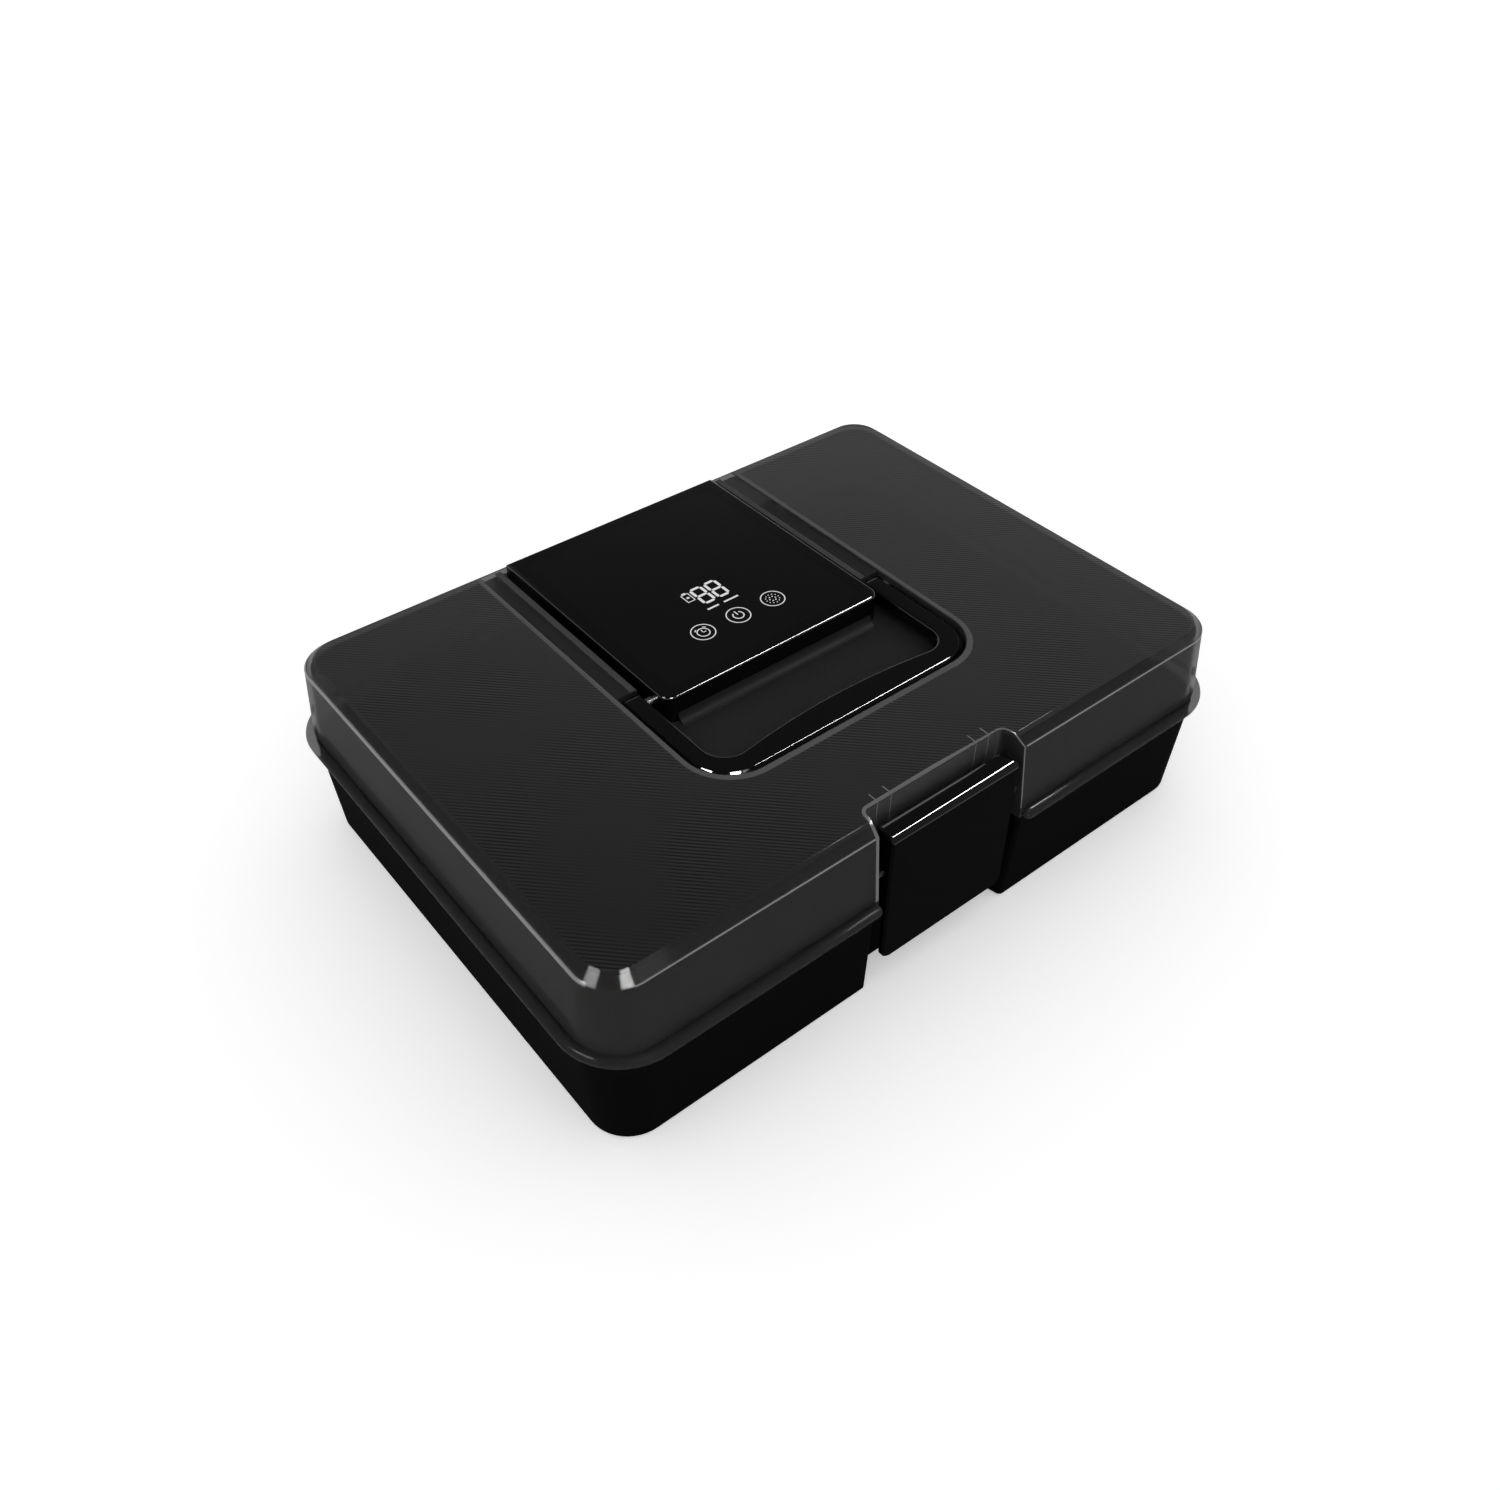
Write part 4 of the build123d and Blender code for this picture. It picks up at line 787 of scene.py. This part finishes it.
digits = []
wide, tall = DIGIT_SIZE
for left in DIGIT_LEFT:
    columns = (left + STROKE / 2, left + wide - STROKE / 2)
    rows = DIGIT_Y + STROKE / 2 + np.arange(3) * (tall - STROKE) / 2
    digits += [stroke(columns[0] + SEGMENT_GAP, y, columns[1] - SEGMENT_GAP, y, STROKE, SEGMENT_POINT)
               for y in rows]
    digits += [stroke(x, low + SEGMENT_GAP, x, high - SEGMENT_GAP, STROKE, SEGMENT_POINT)
               for x in columns for low, high in zip(rows, rows[1:])]
printed("display_marks", digits + [stroke(*line) for line in CELL + FUNCTION_BARS], white_ink)


# Handle: polished black ABS, one U-shaped moulding that lies flush in the well and turns on two pins.
# Its bar is arched inside; the outer top edge has a crisp 1.9 mm bevel and the inner one is rounded.
ARM_OUT = 66.0
ARM_IN = 57.0
BAR_FRONT = -58.0
OUT_R = 18.0
IN_R = 10.0
ARM_END = 3.5
END_R = 3.0
GRIP_TOP = 84.4
GRIP_T = 6.0
BEVEL = 1.9
BEVEL_EASE = 0.3
INNER_R = 1.4
UNDER_EASE = 0.5
UNDER_CORNER = 0.15
ARCH_R = 287.85
ARCH_Y = -331.65
IN_CORE = (47.0, -37.53)
IN_END_ANGLE = 279.1
ARM_STEPS = 7
END_STEPS = 9
TURN_STEPS = 25
BAR_STEPS = 33
FILLET_STEPS = 9
EASE_STEPS = 5
GRIP_SHARP = 32

# left half of the two lines that bound the grip in plan: arm end, arm, corner, and bar to the middle
swing = np.linspace(0, 1, TURN_STEPS)
arm_y = ARM_END - END_R
sink = arm_y + END_R * np.sin(np.linspace(math.pi / 2, 0, END_STEPS))
run_out = np.concatenate([sink, np.linspace(arm_y, BAR_FRONT + OUT_R, ARM_STEPS)[1:-1]])
run_in = np.concatenate([sink, np.linspace(arm_y, IN_CORE[1], ARM_STEPS)[1:-1]])
out_angle = np.radians(180 + 90 * swing)
in_angle = np.radians(180 + (IN_END_ANGLE - 180) * swing)
out_turn = np.stack([OUT_R - ARM_OUT + OUT_R * np.cos(out_angle),
                     BAR_FRONT + OUT_R + OUT_R * np.sin(out_angle)], -1)
in_turn = np.stack([-IN_CORE[0] + IN_R * np.cos(in_angle), IN_CORE[1] + IN_R * np.sin(in_angle)], -1)
bar_out_x = np.linspace(OUT_R - ARM_OUT, 0, BAR_STEPS)[1:]
bar_in_x = np.linspace(in_turn[-1, 0], 0, BAR_STEPS)[1:]
outer = np.vstack([np.column_stack([np.full(len(run_out), -ARM_OUT), run_out]), out_turn,
                   np.column_stack([bar_out_x, np.full(len(bar_out_x), BAR_FRONT)])])
inner = np.vstack([np.column_stack([np.full(len(run_in), -ARM_IN), run_in]), in_turn,
                   np.column_stack([bar_in_x, ARCH_Y + np.sqrt(ARCH_R ** 2 - bar_in_x ** 2)])])
outer = np.vstack([outer, outer[-2::-1] * (-1, 1)])
inner = np.vstack([inner, inner[-2::-1] * (-1, 1)])

# section between the lines: the way from the inner line, or from the outer one, and the depth below the top
fillet = np.radians(np.linspace(0, 90, FILLET_STEPS))
from_inner = np.column_stack([INNER_R - INNER_R * np.cos(fillet), INNER_R - INNER_R * np.sin(fillet)])
under = np.array([(UNDER_EASE, GRIP_T), (UNDER_CORNER, GRIP_T - UNDER_CORNER), (0, GRIP_T - UNDER_EASE)])
near = np.vstack([under, from_inner])
ease = BEVEL_EASE / math.tan(math.pi / 8)
eighth = np.radians(np.linspace(0, 45, EASE_STEPS))
top_ease = np.column_stack([-BEVEL - BEVEL_EASE + ease * np.sin(eighth), ease - ease * np.cos(eighth)])
front_ease = -top_ease[::-1, ::-1]
far = np.vstack([top_ease, front_ease, under[::-1] * (-1, 1)])
gap = outer - inner
width = np.hypot(*gap.T)
ray = gap / width[:, None]
reach = np.hstack([np.broadcast_to(near[:, 0], (len(width), len(near))), width[:, None] + far[:, 0]])
plan = inner[:, None, :] + reach[:, :, None] * ray[:, None, :]
fall = np.broadcast_to(np.concatenate([near[:, 1], far[:, 1]]), reach.shape)
# the arms' ends are rounded: past the arm, the height is held within a half circle about the grip's middle
past = np.clip(plan[:, :, 1] - arm_y, 0, END_R)
half = np.sqrt(END_R ** 2 - past ** 2)
middle = GRIP_TOP - GRIP_T / 2
level = np.clip(GRIP_TOP - fall, middle - half, middle + half)
grip = grid_mesh("carrying_handle", np.dstack([plan, level]), wrap_v=True)
fit(close_form(grip, GRIP_SHARP), polished, "handle", "black_gloss", "handle")


# Latch: black ABS flap with a bevelled top, hung on a steel pin across the notch.
# Its hook snaps behind the catch of the tub. Its front is bare, and the bevel's long edges are eased.
# Its face is matt and its bevelled top is polished; a pale band along the top's rear edge is a painted
# highlight.
LATCH_EASE = 0.5
LATCH_EASE_STEPS = 6
# y and z of the bevel's upper and lower edge, and how near to them an edge's ends are
BEVEL_EDGES = ((-109.3, 79.0), (-111.4, 76.9))
BEVEL_NEAR = 0.05
FLAT_ANGLE = 1.0
# x, y and z of points along the painted highlight on the top's rear edge, its width at each, and its depth
# and height
REAR_HIGHLIGHT = ((-29.8, -103.45, 79.0), (12.0, -103.45, 79.0), (21.0, -103.45, 79.0))
REAR_HIGHLIGHT_WIDE = (0.85, 0.75, 0.35)
REAR_HIGHLIGHT_SINK = -0.4
REAR_HIGHLIGHT_PROUD = 0.03

flap_abs = skinned("semi_gloss_black_abs", "#060606", grain_mm=6.0, height_mm=0.001, rough=(0.10, 0.18),
                   patch_mm=20.0, Specular_IOR_Level=0.0, Coat_Weight=0.035, Coat_Roughness=0.05)
flap = finished("latch")
form = bmesh.new()
form.from_mesh(flap.data)
bmesh.ops.dissolve_limit(form, angle_limit=math.radians(FLAT_ANGLE), verts=form.verts, edges=form.edges)
long_edges = [edge for edge in form.edges for y, z in BEVEL_EDGES
              if all(math.hypot(v.co.y * 1000 - y, v.co.z * 1000 - z) < BEVEL_NEAR for v in edge.verts)]
for face in form.faces:
    # the second material, the polished one, begins above the bevel's lower edge
    face.material_index = int(face.calc_center_median().z * 1000 > BEVEL_EDGES[1][1] + BEVEL_NEAR)
bmesh.ops.bevel(form, geom=long_edges, offset=LATCH_EASE / 1000, offset_type="OFFSET",
                segments=LATCH_EASE_STEPS, profile=0.5, affect="EDGES", clamp_overlap=False, material=-1)
soften(form, SHARP_EDGE)
form.to_mesh(flap.data)
form.free()
fit(flap, flap_abs, "latch", "black_gloss", "latch")
flap.data.materials.append(polished)
# painted highlight: a pale band a hair proud along the top's rear edge
rear_highlight_section = np.array([[(-w, REAR_HIGHLIGHT_SINK), (-w, REAR_HIGHLIGHT_PROUD), (0.0, REAR_HIGHLIGHT_PROUD), (0.0, REAR_HIGHLIGHT_SINK)]
                           for w in REAR_HIGHLIGHT_WIDE])
rear_highlight_across = np.array([(0, 1.0, 0)] * len(REAR_HIGHLIGHT))
rear_highlight_lift = np.array([(0, 0, 1.0)] * len(REAR_HIGHLIGHT))
piece = carried("latch_rear_highlight", np.array(REAR_HIGHLIGHT), rear_highlight_across, rear_highlight_lift, rear_highlight_section)
fit(piece, painted_highlight_band("painted_highlight_latch_rear", "#6A6A6A"), "latch", "black_gloss")
